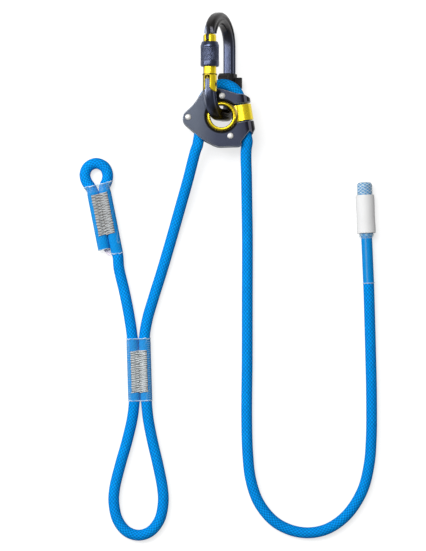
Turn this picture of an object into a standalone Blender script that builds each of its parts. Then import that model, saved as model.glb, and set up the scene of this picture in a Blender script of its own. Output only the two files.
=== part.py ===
"""Y-lanyard: one braided rope with a stitched eye, a stitched harness loop, a rope
adjuster with a swivelling eye and a screw-gate connector. Metres, +Z up, lying flat."""

import math

import bmesh
import bpy
import numpy as np
from mathutils import Matrix, Vector

MM = 0.001
DEG = math.pi / 180.0

# The origin lies on the floor, under the middle of the adjuster and the connector
FRAME_X = 2.5 * MM
FRAME_Y = -32.3 * MM
TOUCH_GAP = 0.3 * MM
ARC_STEP = 15.0 * DEG

# Rope
ROPE_D = 9.8 * MM
ROPE_RINGS = 4
ROPE_STEP = 45.0 * MM
ROPE_TURN_STEP = 22.0 * DEG
END_STUB = 2.0 * MM

# Adjuster shell, in its own frame from the axis of its eye; corners are x, y, fillet in mm
ADJUSTER_Z = 22.6 * MM
ADJUSTER_TURN = 9.6 * DEG
SHELL_WALL = 3.0 * MM
ROPE_CLEARANCE = 0.8 * MM
RUN_X = 19.0 * MM
SEAT_GAP = 0.8 * MM
SHELL_CORNERS = (
    (-9.0, 28.4, 3.0),
    (-23.5, 13.6, 40.0),
    (-38.4, 4.4, 7.5),
    (-20.5, -17.5, 20.0),
    (-8.5, -26.4, 14.0),
    (12.0, -29.2, 4.0),
    (17.0, -24.2, 6.0),
    (24.8, -19.8, 3.0),
    (30.4, -12.4, 2.5),
    (30.4, 10.6, 2.0),
    (22.6, 16.0, 3.0),
    (17.2, 17.0, 4.0),
    (6.0, 22.7, 6.0),
)
ARM_SLOT = ((2.0, 11.4), (2.0, -7.9), (34.0, -7.9), (34.0, 7.9), (14.0, 8.3))
ROPE_EXIT = ((13.2, -25.2), (22.4, -16.6), (24.6, -19.6), (24.6, -36.0), (13.2, -36.0))

# Eye of the adjuster
EYE_HOLE_R = 9.6 * MM
EYE_FRONT_CREST_R = 10.9 * MM
EYE_REAR_CREST_R = 12.1 * MM
EYE_R = 12.5 * MM
EYE_HALF = 8.2 * MM
EYE_EDGE = 1.1 * MM
EYE_FLANGE_R = 14.0 * MM
FLANGE_GAP = 0.6 * MM
ARM_HALF = 7.1 * MM
NECK_START = 11.4 * MM
NECK_HALF_HEIGHT = 7.3 * MM

# Rivets through both cheeks, with a spacer on each; places in mm
RIVETS = (("top", 3.6, 17.5), ("left", -29.2, 4.0), ("low", 4.9, -18.6))
RIVET_HEAD_R = 2.7 * MM
RIVET_HEAD_H = 1.2 * MM
RIVET_SHANK_R = 1.6 * MM
SPACER_WALL = 1.2 * MM

# Connector body, in its own plane: x from spine to gate, y along its length
SPINE_X = 7.2 * MM
SPINE_Z = 7.15 * MM
PLANE_TILT = 67.0 * DEG
BODY_WIDTH = 45.0 * MM
BAR_DEPTH = 10.6 * MM
BAR_WIDTH = 9.6 * MM
BAR_FILLET = 3.2 * MM
FLANK_GROOVE = 0.9 * MM
FLANK_GROOVE_HALF = 1.5 * MM
TOP_Y = 64.1 * MM
BOTTOM_Y = 1.4 * MM
SPINE_BEND_R = 11.0 * MM
GATE_BEND_R = 20.0 * MM
PIVOT_Y = 26.1 * MM
TANG_THICK = 3.9 * MM
TANG_LENGTH = 5.0 * MM
NOSE_TIP_Y = 64.6 * MM
NOSE_SHOULDER_Y = 71.0 * MM
NOSE_THICK = 2.4 * MM
NOSE_RIB_Y = 79.0 * MM
NOSE_RIB_IN = 2.2 * MM
NOSE_HALF = 5.3 * MM

# Gate, along its own axis
FORK_R = 6.2 * MM
GATE_R = 5.7 * MM
FLANGE_R = 6.5 * MM
FLANGE_Y = 34.9 * MM
FLANGE_H = 1.4 * MM
GATE_TOP_Y = 70.2 * MM
GATE_TOP_ROUND = 1.6 * MM
FORK_CLEARANCE = 0.5 * MM
FORK_SIDE_GAP = 0.4 * MM
TANG_TIP_GAP = 0.5 * MM
NOSE_SIDE_GAP = 0.4 * MM
NOSE_TIP_GAP = 0.8 * MM
PIVOT_R = 1.5 * MM
GATE_BORE_R = 2.2 * MM
GATE_BORE_END_Y = 53.0 * MM

# Return spring and its plunger
PLUNGER_R = 1.7 * MM
PLUNGER_LENGTH = 7.0 * MM
SPRING_WIRE = 0.6 * MM
SPRING_R = 1.45 * MM
SPRING_CURLS = 9
SPRING_POINTS = 9

# Screw sleeve and the ring that keeps it on the gate
SLEEVE_Y = 41.8 * MM
SLEEVE_LENGTH = 21.8 * MM
SLEEVE_R = 8.2 * MM
SLEEVE_BORE_GAP = 0.45 * MM
SLEEVE_TOP_R = 6.9 * MM
SLEEVE_TOP_CHAMFER = 3.6 * MM
SLEEVE_LOW_CHAMFER = 1.2 * MM
GRIP_RECESS = 0.3 * MM
GRIP_LENGTH = 12.6 * MM
GRIP_Y = 4.6 * MM
RING_Y = 2.4 * MM
RING_WIDTH = 1.2 * MM
RING_DEPTH = 0.8 * MM

# Rubber keeper on the spine
KEEPER_Y = 27.6 * MM
KEEPER_LENGTH = 11.8 * MM
KEEPER_WALL = 1.0 * MM
LOBE_DEPTH = 8.0 * MM
LOBE_LENGTH = 6.2 * MM
LOBE_WIDTH = 9.0 * MM
EAR_REACH = 6.0 * MM
EAR_LENGTH = 9.9 * MM
EAR_THICK = 3.2 * MM
EAR_Y = 25.9 * MM

# Stitched seams: x, y and turn of each, then film, thread block and label
RUN_HALF = 5.6 * MM
FILM_WALL = 0.5 * MM
FILM_HALF_WIDTH = 11.4 * MM
FILM_HALF_HEIGHT = 6.6 * MM
FILM_CORNER_R = 5.0 * MM
STITCH_WIDTH = 15.4 * MM
STITCH_LENGTH = 37.0 * MM
STITCH_COVER = 0.5 * MM
MID_SEAM = (-73.6 * MM, -225.4 * MM, 1.7 * DEG)
MID_FILM = (56.0 * MM, 0.0 * MM)
MID_STITCH_SHIFT = -1.8 * MM
EYE_SEAM = (-105.2 * MM, -90.0 * MM, 11.2 * DEG)
EYE_FILM = (58.8 * MM, -4.1 * MM)
EYE_FLARE_LENGTH = 5.7 * MM
EYE_FLARE_SHIFT = 0.6 * MM
EYE_FLARE_HALF_WIDTH = 13.9 * MM
EYE_FILM_STEP = (-0.3 * MM, -27.6 * MM)
EYE_STITCH_SHIFT = 3.9 * MM
CUT_END_SHIFT = -26.9 * MM

# Printed strip under the film of the eye; corners in mm
LABEL_CORNERS = ((-6.6, -21.0), (-7.0, -26.4), (-2.4, -33.6), (-0.9, -33.2), (0.4, -21.0))
LABEL_THICK = 0.35 * MM

# Stopper at the tail end, from the tip of the rope down
TAIL_TIP = (128.0 * MM, -57.3 * MM)
TAIL_TURN = 2.45 * DEG
STOPPER_R = 6.3 * MM
STOPPER_LENGTH = 44.0 * MM
STOPPER_CONE = 6.0 * MM
SHRINK_WALL = 0.5 * MM
SHRINK_GAP = 0.3 * MM
SHRINK_LENGTH = 91.0 * MM
PRINT_TOP = 11.7 * MM
PRINT_LENGTH = 34.2 * MM
PRINT_HALF_WIDTH = 8.4 * MM
PRINT_HALF_HEIGHT = 7.8 * MM
PRINT_WALL = 0.45 * MM

# Rope route in mm, points chosen by eye along the laid-out rope
IN_ADJUSTER = (
    (-24.2, -18.7),
    (-21.6, -11.0),
    (-20.2, -3.0),
    (-19.7, 4.0),
    (-17.4, 11.5),
    (-13.0, 18.4),
    (-6.8, 24.2),
    (0.4, 27.7),
    (6.5, 27.9),
    (12.4, 25.2),
    (16.8, 20.0),
    (18.8, 13.0),
    (19.0, 6.0),
    (19.0, -6.0),
    (19.0, -14.0),
    (19.0, -22.5),
)
ADJUSTABLE_ARM = (
    (-66.4, -180.2, 5.3),
    (-61.5, -163.1, 4.9),
    (-53.1, -136.2, 4.9),
    (-45.2, -109.3, 5.2),
    (-37.5, -82.4, 8.6),
    (-29.9, -55.9, 15.4),
    (-22.9, -29.6, 21.6),
)
HARNESS_LOOP = (
    (-80.1, -269.9, 5.0),
    (-84.7, -289.7, 4.9),
    (-90.8, -311.2, 4.9),
    (-95.9, -332.7, 4.9),
    (-96.5, -345.5, 4.9),
    (-93.1, -360.4, 4.9),
    (-84.9, -370.8, 4.9),
    (-74.3, -374.2, 4.9),
    (-63.8, -370.8, 4.9),
    (-55.6, -360.4, 4.9),
    (-52.3, -345.5, 4.9),
    (-52.8, -332.7, 4.9),
    (-56.9, -311.2, 4.9),
    (-61.9, -289.7, 4.9),
    (-65.7, -269.9, 5.0),
)
FIXED_ARM = (
    (-92.0, -134.2, 5.3),
    (-86.9, -156.4, 4.9),
    (-82.9, -176.6, 5.3),
)
STITCHED_EYE = (
    (-121.0, -56.8, 5.2),
    (-122.5, -50.2, 4.9),
    (-119.6, -43.6, 4.9),
    (-112.4, -40.4, 4.9),
    (-105.2, -43.4, 4.9),
    (-102.2, -49.6, 4.9),
    (-102.7, -56.2, 5.2),
)
TAIL = (
    (21.9, -29.6, 21.6),
    (22.4, -55.9, 15.4),
    (22.9, -82.4, 8.6),
    (23.3, -109.3, 5.2),
    (23.2, -163.1, 4.9),
    (23.1, -217.0, 4.9),
    (22.7, -268.1, 4.9),
    (23.6, -300.4, 4.9),
    (26.3, -324.0, 4.9),
    (33.6, -345.0, 4.9),
    (47.5, -361.8, 4.9),
    (64.3, -370.2, 4.9),
    (81.0, -371.9, 4.9),
    (97.0, -367.6, 4.9),
    (112.9, -355.6, 4.9),
    (126.4, -334.5, 4.9),
    (132.5, -311.2, 4.9),
    (134.5, -287.0, 4.9),
    (134.7, -246.6, 4.9),
    (133.8, -206.0, 4.9),
    (132.9, -176.0, 6.2),
)

ROPE_BLUE = (0.0, 0.22, 0.78)
ANODISED = (0.055, 0.065, 0.11)
GOLD = (0.80, 0.58, 0.03)
STEEL = (0.72, 0.71, 0.68)
BLACK = (0.015, 0.015, 0.017)
THREAD = (0.52, 0.50, 0.49)
FILM = (0.55, 0.68, 0.82)
PAPER = (0.88, 0.87, 0.86)

# Sizes that follow from those above
ROPE_R = ROPE_D / 2
CHEEK_INNER = ROPE_R + ROPE_CLEARANCE
CHEEK_OUTER = CHEEK_INNER + SHELL_WALL
SEAT_R = EYE_R + SEAT_GAP
SEAM_Z = FILM_HALF_HEIGHT
TAIL_Z = PRINT_HALF_HEIGHT
FORK_SLOT = TANG_THICK + 2 * FORK_SIDE_GAP
TANG_SWEEP_R = math.hypot(TANG_LENGTH, BAR_DEPTH / 2)
FORK_SLOT_TOP = TANG_SWEEP_R + TANG_TIP_GAP
NOSE_SLOT = NOSE_THICK + 2 * NOSE_SIDE_GAP
SLEEVE_BORE_R = GATE_R + SLEEVE_BORE_GAP


# Scene helpers


def clear_scene():
    for obj in list(bpy.data.objects):
        bpy.data.objects.remove(obj, do_unlink=True)


def new_collection(name):
    group = bpy.data.collections.new(name)
    bpy.context.scene.collection.children.link(group)
    return group


def material(name, colour, roughness, metallic=0.0):
    mat = bpy.data.materials.new(name)
    mat.use_nodes = True
    shader = mat.node_tree.nodes["Principled BSDF"]
    shader.inputs["Base Color"].default_value = (*colour, 1.0)
    shader.inputs["Roughness"].default_value = roughness
    shader.inputs["Metallic"].default_value = metallic
    return mat


def empty(name, parent, location=(0.0, 0.0, 0.0), turn=(0.0, 0.0, 0.0)):
    frame = bpy.data.objects.new(name, None)
    PARTS.objects.link(frame)
    frame.parent = parent
    frame.location = location
    frame.rotation_euler = turn
    return frame


def finish(obj, name, mat, parent, sharp=35.0 * DEG):
    """Name a piece, give it its material and shade it smooth up to the sharp angle."""
    obj.name = name
    obj.data.name = name
    obj.data.materials.clear()
    obj.data.materials.append(mat)
    obj.parent = parent
    if obj.type == "MESH":
        obj.data.shade_smooth()
        obj.data.set_sharp_from_angle(angle=sharp)
    return obj


def mesh_object(name, bm):
    mesh = bpy.data.meshes.new(name)
    bm.to_mesh(mesh)
    bm.free()
    obj = bpy.data.objects.new(name, mesh)
    PARTS.objects.link(obj)
    return obj


def as_cutter(obj, parent):
    """A tool shape stays in the scene as a wire and isn't rendered."""
    PARTS.objects.unlink(obj)
    CUTTERS.objects.link(obj)
    obj.parent = parent
    obj.hide_render = True
    obj.display_type = "WIRE"
    return obj


def boolean(obj, tool, operation="DIFFERENCE"):
    step = obj.modifiers.new(f"{operation.title()} {tool.name}", "BOOLEAN")
    step.operation = operation
    step.solver = "EXACT"
    step.object = tool


def box(name, low, high):
    """A box between two opposite corners."""
    bm = bmesh.new()
    bmesh.ops.create_cube(bm, size=1.0)
    size = [b - a for a, b in zip(low, high)]
    middle = [(a + b) / 2 for a, b in zip(low, high)]
    bmesh.ops.scale(bm, vec=size, verts=bm.verts)
    bmesh.ops.translate(bm, vec=middle, verts=bm.verts)
    return mesh_object(name, bm)


def cylinder(name, radius, depth, middle=(0.0, 0.0, 0.0), along="Z", sides=32):
    bm = bmesh.new()
    bmesh.ops.create_cone(
        bm, cap_ends=True, segments=sides, radius1=radius, radius2=radius, depth=depth
    )
    if along != "Z":
        lay_down = Matrix.Rotation(-90 * DEG, 4, "X" if along == "Y" else "Y")
        bmesh.ops.transform(bm, matrix=lay_down, verts=bm.verts)
    bmesh.ops.translate(bm, vec=middle, verts=bm.verts)
    return mesh_object(name, bm)


def turned(name, profile, steps=40, closed=False):
    """A profile of (radius, height) points, outer side from top to bottom, turned about Z."""
    bm = bmesh.new()
    points = [bm.verts.new((radius, 0.0, height)) for radius, height in profile]
    for a, b in zip(points, points[1:]):
        bm.edges.new((a, b))
    if closed:
        bm.edges.new((points[-1], points[0]))
    obj = mesh_object(name, bm)
    screw = obj.modifiers.new("Turn", "SCREW")
    screw.axis = "Z"
    screw.steps = steps
    screw.render_steps = steps
    screw.use_merge_vertices = True
    screw.merge_threshold = 0.01 * MM
    return obj


def made_mesh(obj, name):
    """A curve or an object with modifiers, made a plain mesh with welded seams."""
    graph = bpy.context.evaluated_depsgraph_get()
    mesh = bpy.data.meshes.new_from_object(obj.evaluated_get(graph))
    bm = bmesh.new()
    bm.from_mesh(mesh)
    bmesh.ops.remove_doubles(bm, verts=bm.verts, dist=0.005 * MM)
    bm.to_mesh(mesh)
    bm.free()
    plain = bpy.data.objects.new(name, mesh)
    plain.matrix_world = obj.matrix_world
    PARTS.objects.link(plain)
    bpy.data.objects.remove(obj, do_unlink=True)
    return plain


def rounded(corners, unit=1.0):
    """An outline through corners of x, y and fillet radius, with an arc at each corner."""
    outline = []
    count = len(corners)
    for i, (x, y, radius) in enumerate(corners):
        here = Vector((x, y))
        before = Vector(corners[i - 1][:2]) - here
        after = Vector(corners[(i + 1) % count][:2]) - here
        before.normalize()
        after.normalize()
        half = before.angle(after) / 2
        if radius <= 0.0:
            outline.append(here * unit)
            continue
        centre = here + (before + after).normalized() * radius / math.sin(half)
        start = here + before * radius / math.tan(half) - centre
        end = here + after * radius / math.tan(half) - centre
        sweep = start.angle_signed(end)
        steps = max(2, math.ceil(abs(sweep) / ARC_STEP))
        for k in range(steps + 1):
            spoke = start.copy()
            spoke.rotate(Matrix.Rotation(-sweep * k / steps, 2))
            outline.append((centre + spoke) * unit)
    return [(p.x, p.y) for p in outline]


def round_box_outline(half_x, half_y, radius):
    """A rectangle with round corners about the origin."""
    corners = [(half_x, -half_y), (half_x, half_y), (-half_x, half_y), (-half_x, -half_y)]
    return rounded([(x, y, radius) for x, y in corners])


def plate(name, outlines, half_thickness):
    """A flat outline, with any further outlines as holes in it, thick along Z."""
    curve = bpy.data.curves.new(name, "CURVE")
    curve.dimensions = "2D"
    curve.fill_mode = "BOTH"
    curve.extrude = half_thickness
    for outline in outlines:
        spline = curve.splines.new("POLY")
        spline.points.add(len(outline) - 1)
        for point, (x, y) in zip(spline.points, outline):
            point.co = (x, y, 0.0, 1.0)
        spline.use_cyclic_u = True
    obj = bpy.data.objects.new(name, curve)
    PARTS.objects.link(obj)
    return made_mesh(obj, name)


def in_mm(points):
    return [tuple(value * MM for value in point) for point in points]


# Rope


def smooth(points, per_span=24):
    """A Catmull-Rom curve through the points, and the index in it of each of them."""
    p = np.array([2 * points[0] - points[1], *points, 2 * points[-1] - points[-2]])
    curve = []
    marks = []
    for a, b, c, d in zip(p, p[1:], p[2:], p[3:]):
        ta = np.linalg.norm(b - a) ** 0.5
        tb = np.linalg.norm(c - b) ** 0.5
        tc = np.linalg.norm(d - c) ** 0.5
        out = tb * ((b - a) / ta - (c - a) / (ta + tb) + (c - b) / tb)
        into = tb * ((c - b) / tb - (d - b) / (tb + tc) + (d - c) / tc)
        marks.append(len(curve))
        for t in np.arange(per_span) / per_span:
            basis = (2 * t**3 - 3 * t**2 + 1, t**3 - 2 * t**2 + t)
            basis += (-2 * t**3 + 3 * t**2, t**3 - t**2)
            curve.append(basis[0] * b + basis[1] * out + basis[2] * c + basis[3] * into)
    marks.append(len(curve))
    curve.append(p[-2])
    return np.array(curve), marks


def thinned(path):
    """Points of a dense path, close together in its bends and far apart on its straights."""
    steps = np.diff(path, axis=0)
    lengths = np.linalg.norm(steps, axis=1)
    heading = steps / lengths[:, None]
    turning = np.arccos(np.clip((heading[1:] * heading[:-1]).sum(axis=1), -1.0, 1.0))
    cost = lengths / ROPE_STEP
    cost[1:] += turning / ROPE_TURN_STEP
    run = np.concatenate(([0.0], np.cumsum(cost)))
    wanted = np.linspace(0.0, run[-1], math.ceil(run[-1]) + 1)
    points = [[np.interp(w, run, path[:, k]) for k in range(3)] for w in wanted]
    ends = trimmed(path, END_STUB, END_STUB)
    return np.array([points[0], ends[0], *points[1:-1], ends[-1], points[-1]])


def trimmed(path, start, end):
    """The path with a length taken off each end."""
    length = np.concatenate(([0.0], np.cumsum(np.linalg.norm(np.diff(path, axis=0), axis=1))))
    keep = (length > start) & (length < length[-1] - end)
    first = [np.interp(start, length, path[:, k]) for k in range(3)]
    last = [np.interp(length[-1] - end, length, path[:, k]) for k in range(3)]
    return np.array([first, *path[keep], last])


def tube(name, points, radius, rings, mat, parent):
    curve = bpy.data.curves.new(name, "CURVE")
    curve.dimensions = "3D"
    curve.bevel_depth = radius
    curve.bevel_resolution = rings
    curve.use_fill_caps = True
    spline = curve.splines.new("POLY")
    spline.points.add(len(points) - 1)
    for point, place in zip(spline.points, points):
        point.co = (*place, 1.0)
    obj = bpy.data.objects.new(name, curve)
    PARTS.objects.link(obj)
    return finish(obj, name, mat, parent)


def in_frame(place, turn, x, y, z):
    """A point given beside a turned frame that stands at a place."""
    cos, sin = math.cos(turn), math.sin(turn)
    return np.array([place[0] + x * cos - y * sin, place[1] + x * sin + y * cos, z])


def seam_run(seam, film, side, upward):
    """Points that keep one run straight inside a seam's film."""
    length, shift = film
    reach = length / 2
    offsets = [-reach - 2 * MM, -reach + 5 * MM, 0.0, reach - 5 * MM, reach + 2 * MM]
    points = [in_frame(seam, seam[2], side * RUN_HALF, shift + s, SEAM_Z) for s in offsets]
    return points if upward else points[::-1]


def rope_paths():
    """The whole rope from its cut end to its tail, cut in three at the adjuster."""
    cut_end = [
        in_frame(EYE_SEAM, EYE_SEAM[2], -RUN_HALF, CUT_END_SHIFT, SEAM_Z),
        *seam_run(EYE_SEAM, EYE_FILM, -1, True)[2:],
    ]
    held = [in_frame((0, 0), ADJUSTER_TURN, x, y, ADJUSTER_Z) for x, y in in_mm(IN_ADJUSTER)]
    tail_end = [
        in_frame(TAIL_TIP, TAIL_TURN, 0.0, -y, TAIL_Z)
        for y in (SHRINK_LENGTH + 3 * MM, SHRINK_LENGTH - 5 * MM, STOPPER_LENGTH + STOPPER_CONE)
    ]
    route = [*cut_end, *[np.array(p) for p in in_mm(STITCHED_EYE)]]
    route += seam_run(EYE_SEAM, EYE_FILM, 1, False)
    route += [np.array(p) for p in in_mm(FIXED_ARM)]
    route += seam_run(MID_SEAM, MID_FILM, -1, False)
    route += [np.array(p) for p in in_mm(HARNESS_LOOP)]
    route += seam_run(MID_SEAM, MID_FILM, 1, True)
    route += [np.array(p) for p in in_mm(ADJUSTABLE_ARM)]
    stub_in = held[0] + (held[0] - held[1]) * (3 * MM / np.linalg.norm(held[0] - held[1]))
    stub_out = held[-1] + (held[-1] - held[-2]) * (3 * MM / np.linalg.norm(held[-1] - held[-2]))
    route.append(stub_in)
    enter = len(route)
    route += held
    leave = len(route) - 1
    route.append(stub_out)
    route += [np.array(p) for p in in_mm(TAIL)]
    route += tail_end
    curve, marks = smooth(route)
    standing = curve[: marks[enter] + 1]
    inside = curve[marks[enter] : marks[leave] + 1]
    tail = curve[marks[leave] :]
    half = TOUCH_GAP / 2
    return trimmed(standing, 0.0, half), trimmed(inside, half, half), trimmed(tail, half, TOUCH_GAP)


def rope(root, mat):
    names = ("rope_standing", "rope_in_adjuster", "rope_tail")
    for name, path in zip(names, rope_paths()):
        tube(name, thinned(path), ROPE_R, ROPE_RINGS, mat, root)


# Stitched seams


def film_loft(name, sections, inset):
    """A solid through round-cornered sections of y, middle and half width."""
    bm = bmesh.new()
    rings = []
    for y, middle, half in sections:
        w = half - inset
        h = FILM_HALF_HEIGHT - inset
        r = FILM_CORNER_R - inset
        rings.append([bm.verts.new((middle + x, y, z)) for x, z in round_box_outline(w, h, r)])
    count = len(rings[0])
    for a, b in zip(rings, rings[1:]):
        for k in range(count):
            bm.faces.new((a[k], a[(k + 1) % count], b[(k + 1) % count], b[k]))
    bm.faces.new(rings[0])
    bm.faces.new(rings[-1])
    bmesh.ops.recalc_face_normals(bm, faces=bm.faces)
    return mesh_object(name, bm)


def seam_film(name, frame, sections, mat):
    """Clear film shrunk flat round two runs of rope, open at both ends."""
    film = film_loft(name, sections, 0.0)
    over = 2 * TOUCH_GAP
    first, last = sections[0], sections[-1]
    through = [(first[0] - over, *first[1:]), *sections, (last[0] + over, *last[1:])]
    boolean(film, as_cutter(film_loft(f"{name}_inside", through, FILM_WALL), frame))
    return finish(film, name, mat, frame)


def straight_film(film):
    length, shift = film
    half = FILM_HALF_WIDTH
    return [(shift - length / 2, 0.0, half), (shift + length / 2, 0.0, half)]


def seam_stitching(name, frame, shift, mat):
    """A block of thread over and between two runs of rope."""
    reach = STITCH_LENGTH / 2
    cover = ROPE_R + TOUCH_GAP + STITCH_COVER
    low = (-STITCH_WIDTH / 2, shift - reach, -cover)
    high = (STITCH_WIDTH / 2, shift + reach, cover)
    block = box(name, low, high)
    for side in (-1, 1):
        run = cylinder(
            f"{name}_run_{'left' if side < 0 else 'right'}",
            ROPE_R + TOUCH_GAP,
            STITCH_LENGTH * 1.2,
            (side * RUN_HALF, shift, 0.0),
            "Y",
            24,
        )
        boolean(block, as_cutter(run, frame))
    return finish(block, name, mat, frame)


def seams(root, mats):
    mid = empty("mid_seam_frame", root, (MID_SEAM[0], MID_SEAM[1], SEAM_Z), (0, 0, MID_SEAM[2]))
    eye = empty("eye_seam_frame", root, (EYE_SEAM[0], EYE_SEAM[1], SEAM_Z), (0, 0, EYE_SEAM[2]))
    seam_film("mid_seam_film", mid, straight_film(MID_FILM), mats["film"])
    seam_stitching("mid_stitching", mid, MID_STITCH_SHIFT, mats["thread"])
    sections = straight_film(EYE_FILM)
    flare = (sections[-1][0] + EYE_FLARE_LENGTH, EYE_FLARE_SHIFT, EYE_FLARE_HALF_WIDTH)
    film = seam_film("eye_seam_film", eye, [*sections, flare], mats["film"])
    far = 2 * FILM_HALF_WIDTH
    low = (-far, sections[0][0] - far, -far)
    boolean(film, as_cutter(box("eye_film_step", low, (*EYE_FILM_STEP, far)), eye))
    seam_stitching("eye_stitching", eye, EYE_STITCH_SHIFT, mats["thread"])
    label = plate("eye_label", [in_mm(LABEL_CORNERS)], LABEL_THICK / 2)
    label.location = (0.0, 0.0, -(ROPE_R + TOUCH_GAP + LABEL_THICK / 2))
    finish(label, "eye_label", mats["paper"], eye)


# Tail stopper


def tail_stopper(root, mats):
    """The rope's thick sewn end, the shrink tube over it and the printed sleeve on that."""
    frame = empty("tail_frame", root, (*TAIL_TIP, TAIL_Z), (-90 * DEG, 0.0, TAIL_TURN))
    inner = STOPPER_R + SHRINK_GAP
    outer = inner + SHRINK_WALL
    low_inner = ROPE_R + SHRINK_GAP
    low_outer = low_inner + SHRINK_WALL
    cone = STOPPER_LENGTH + STOPPER_CONE
    top = SHRINK_WALL + SHRINK_GAP
    stop_profile = (
        (0.0, -top),
        (STOPPER_R - 1.2 * MM, -top),
        (STOPPER_R, -top - 1.4 * MM),
        (STOPPER_R, -STOPPER_LENGTH),
        (ROPE_R, -cone),
        (0.0, -cone),
    )
    stop = turned("rope_end_stop", stop_profile, 24)
    finish(stop, "rope_end_stop", mats["rope"], frame)
    shrink_profile = (
        (0.0, 0.0),
        (outer - 1.4 * MM, 0.0),
        (outer, -1.6 * MM),
        (outer, -STOPPER_LENGTH),
        (low_outer, -cone),
        (low_outer, -SHRINK_LENGTH),
        (low_inner, -SHRINK_LENGTH),
        (low_inner, -cone),
        (inner, -STOPPER_LENGTH),
        (inner, -1.8 * MM),
        (inner - 1.2 * MM, -SHRINK_WALL),
        (0.0, -SHRINK_WALL),
    )
    finish(turned("tail_shrink_tube", shrink_profile, 28), "tail_shrink_tube", mats["film"], frame)
    ovals = []
    for inset in (0.0, PRINT_WALL):
        w, h = PRINT_HALF_WIDTH - inset, PRINT_HALF_HEIGHT - inset
        angles = np.linspace(0.0, 2 * math.pi, 32, endpoint=False)
        ovals.append([(w * math.cos(a), h * math.sin(a)) for a in angles])
    sleeve = plate("tail_sleeve_label", ovals, PRINT_LENGTH / 2)
    sleeve.location = (0.0, 0.0, -PRINT_TOP - PRINT_LENGTH / 2)
    finish(sleeve, "tail_sleeve_label", mats["paper"], frame)


# Adjuster


def shell(frame, mat):
    """One plate folded round the rope into two cheeks, cut out for the eye and its arm."""
    far = -45.0 * MM
    around = [k * ARC_STEP - 90 * DEG for k in range(13)]
    outer = [(RUN_X + CHEEK_OUTER * math.cos(a), CHEEK_OUTER * math.sin(a)) for a in around]
    inner = [(RUN_X + CHEEK_INNER * math.cos(a), CHEEK_INNER * math.sin(a)) for a in around]
    fold = [(far, -CHEEK_OUTER), *outer, (far, CHEEK_OUTER), (far, CHEEK_INNER)]
    fold += [*inner[::-1], (far, -CHEEK_INNER)]
    body = plate("adjuster_shell", [fold], 40.0 * MM)
    body.rotation_euler = (90 * DEG, 0.0, 0.0)
    thick = CHEEK_OUTER + 5 * MM
    outline = plate("shell_outline", [rounded(SHELL_CORNERS, MM)], thick)
    boolean(body, as_cutter(outline, frame), "INTERSECT")
    seat = cylinder("shell_seat", SEAT_R, 2 * thick, sides=64)
    boolean(body, as_cutter(seat, frame))
    slot = plate("shell_arm_slot", [in_mm(ARM_SLOT)], thick)
    boolean(body, as_cutter(slot, frame))
    way_out = plate("shell_rope_exit", [in_mm(ROPE_EXIT)], thick / 2)
    way_out.location = (0.0, 0.0, thick / 2 + TOUCH_GAP)
    boolean(body, as_cutter(way_out, frame))
    for name, x, y in RIVETS:
        place = (x * MM, y * MM, 0.0)
        hole = cylinder(f"shell_hole_{name}", RIVET_SHANK_R + TOUCH_GAP, 2 * thick, place, sides=20)
        boolean(body, as_cutter(hole, frame))
    return finish(body, "adjuster_shell", mat, frame)


def rivets(frame, steel):
    """Three domed rivets, each with a spacer tube that keeps the cheeks apart."""
    face = CHEEK_OUTER + TOUCH_GAP
    dome = [k * 22.5 * DEG for k in range(5)]
    head = [(RIVET_HEAD_R * math.sin(a), face + RIVET_HEAD_H * math.cos(a)) for a in dome]
    head[0] = (0.0, face + RIVET_HEAD_H)
    half = [*head, (RIVET_SHANK_R, face)]
    profile = half + [(radius, -height) for radius, height in half[::-1]]
    bore = RIVET_SHANK_R + TOUCH_GAP
    wall = bore + SPACER_WALL
    reach = CHEEK_INNER - TOUCH_GAP
    tube_profile = [(bore, reach), (wall, reach), (wall, -reach), (bore, -reach)]
    for name, x, y in RIVETS:
        rivet = turned(f"rivet_{name}", profile, 20)
        rivet.location = (x * MM, y * MM, 0.0)
        finish(rivet, f"rivet_{name}", steel, frame)
        spacer = turned(f"spacer_{name}", tube_profile, 20, closed=True)
        spacer.location = (x * MM, y * MM, 0.0)
        finish(spacer, f"spacer_{name}", steel, frame)


def eye_profile():
    """Half section of the ring: an elliptic throat, round edges and a middle flange."""
    flange = CHEEK_INNER - FLANGE_GAP
    edge = [k * 22.5 * DEG for k in range(5)]
    throat = [k * 15.0 * DEG for k in range(13)]
    points = []
    for crest, side, arc in ((EYE_FRONT_CREST_R, 1, edge), (EYE_REAR_CREST_R, -1, edge[::-1])):
        rim = EYE_R - crest
        heights = [EYE_HALF - EYE_EDGE * (1 - math.cos(a)) for a in arc]
        points += [(crest + rim * math.sin(a), side * h) for a, h in zip(arc, heights)]
        if side > 0:
            points += [(EYE_R, flange), (EYE_FLANGE_R, flange)]
            points += [(EYE_FLANGE_R, -flange), (EYE_R, -flange)]
    for a in throat[1:-1]:
        crest = EYE_REAR_CREST_R if a < 90 * DEG else EYE_FRONT_CREST_R
        radius = crest - (crest - EYE_HOLE_R) * math.sin(a)
        points.append((radius, -EYE_HALF * math.cos(a)))
    return points


def eye(frame, mat):
    """Ring and arm in one piece; the arm's knuckle turns on the rope between the folds."""
    ring = turned("adjuster_eye", eye_profile(), 44, closed=True)
    knuckle = cylinder(
        "eye_knuckle", CHEEK_OUTER, 2 * ARM_HALF, (RUN_X, 0.0, 0.0), "Y", sides=40
    )
    boolean(ring, as_cutter(knuckle, frame), "UNION")
    neck = box(
        "eye_neck",
        (NECK_START, -ARM_HALF, -NECK_HALF_HEIGHT),
        (RUN_X, ARM_HALF, NECK_HALF_HEIGHT),
    )
    boolean(ring, as_cutter(neck, frame), "UNION")
    bore = cylinder("eye_rope_bore", CHEEK_INNER, 6 * ARM_HALF, (RUN_X, 0.0, 0.0), "Y", sides=32)
    boolean(ring, as_cutter(bore, frame))
    return finish(ring, "adjuster_eye", mat, frame)


# Connector


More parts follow.
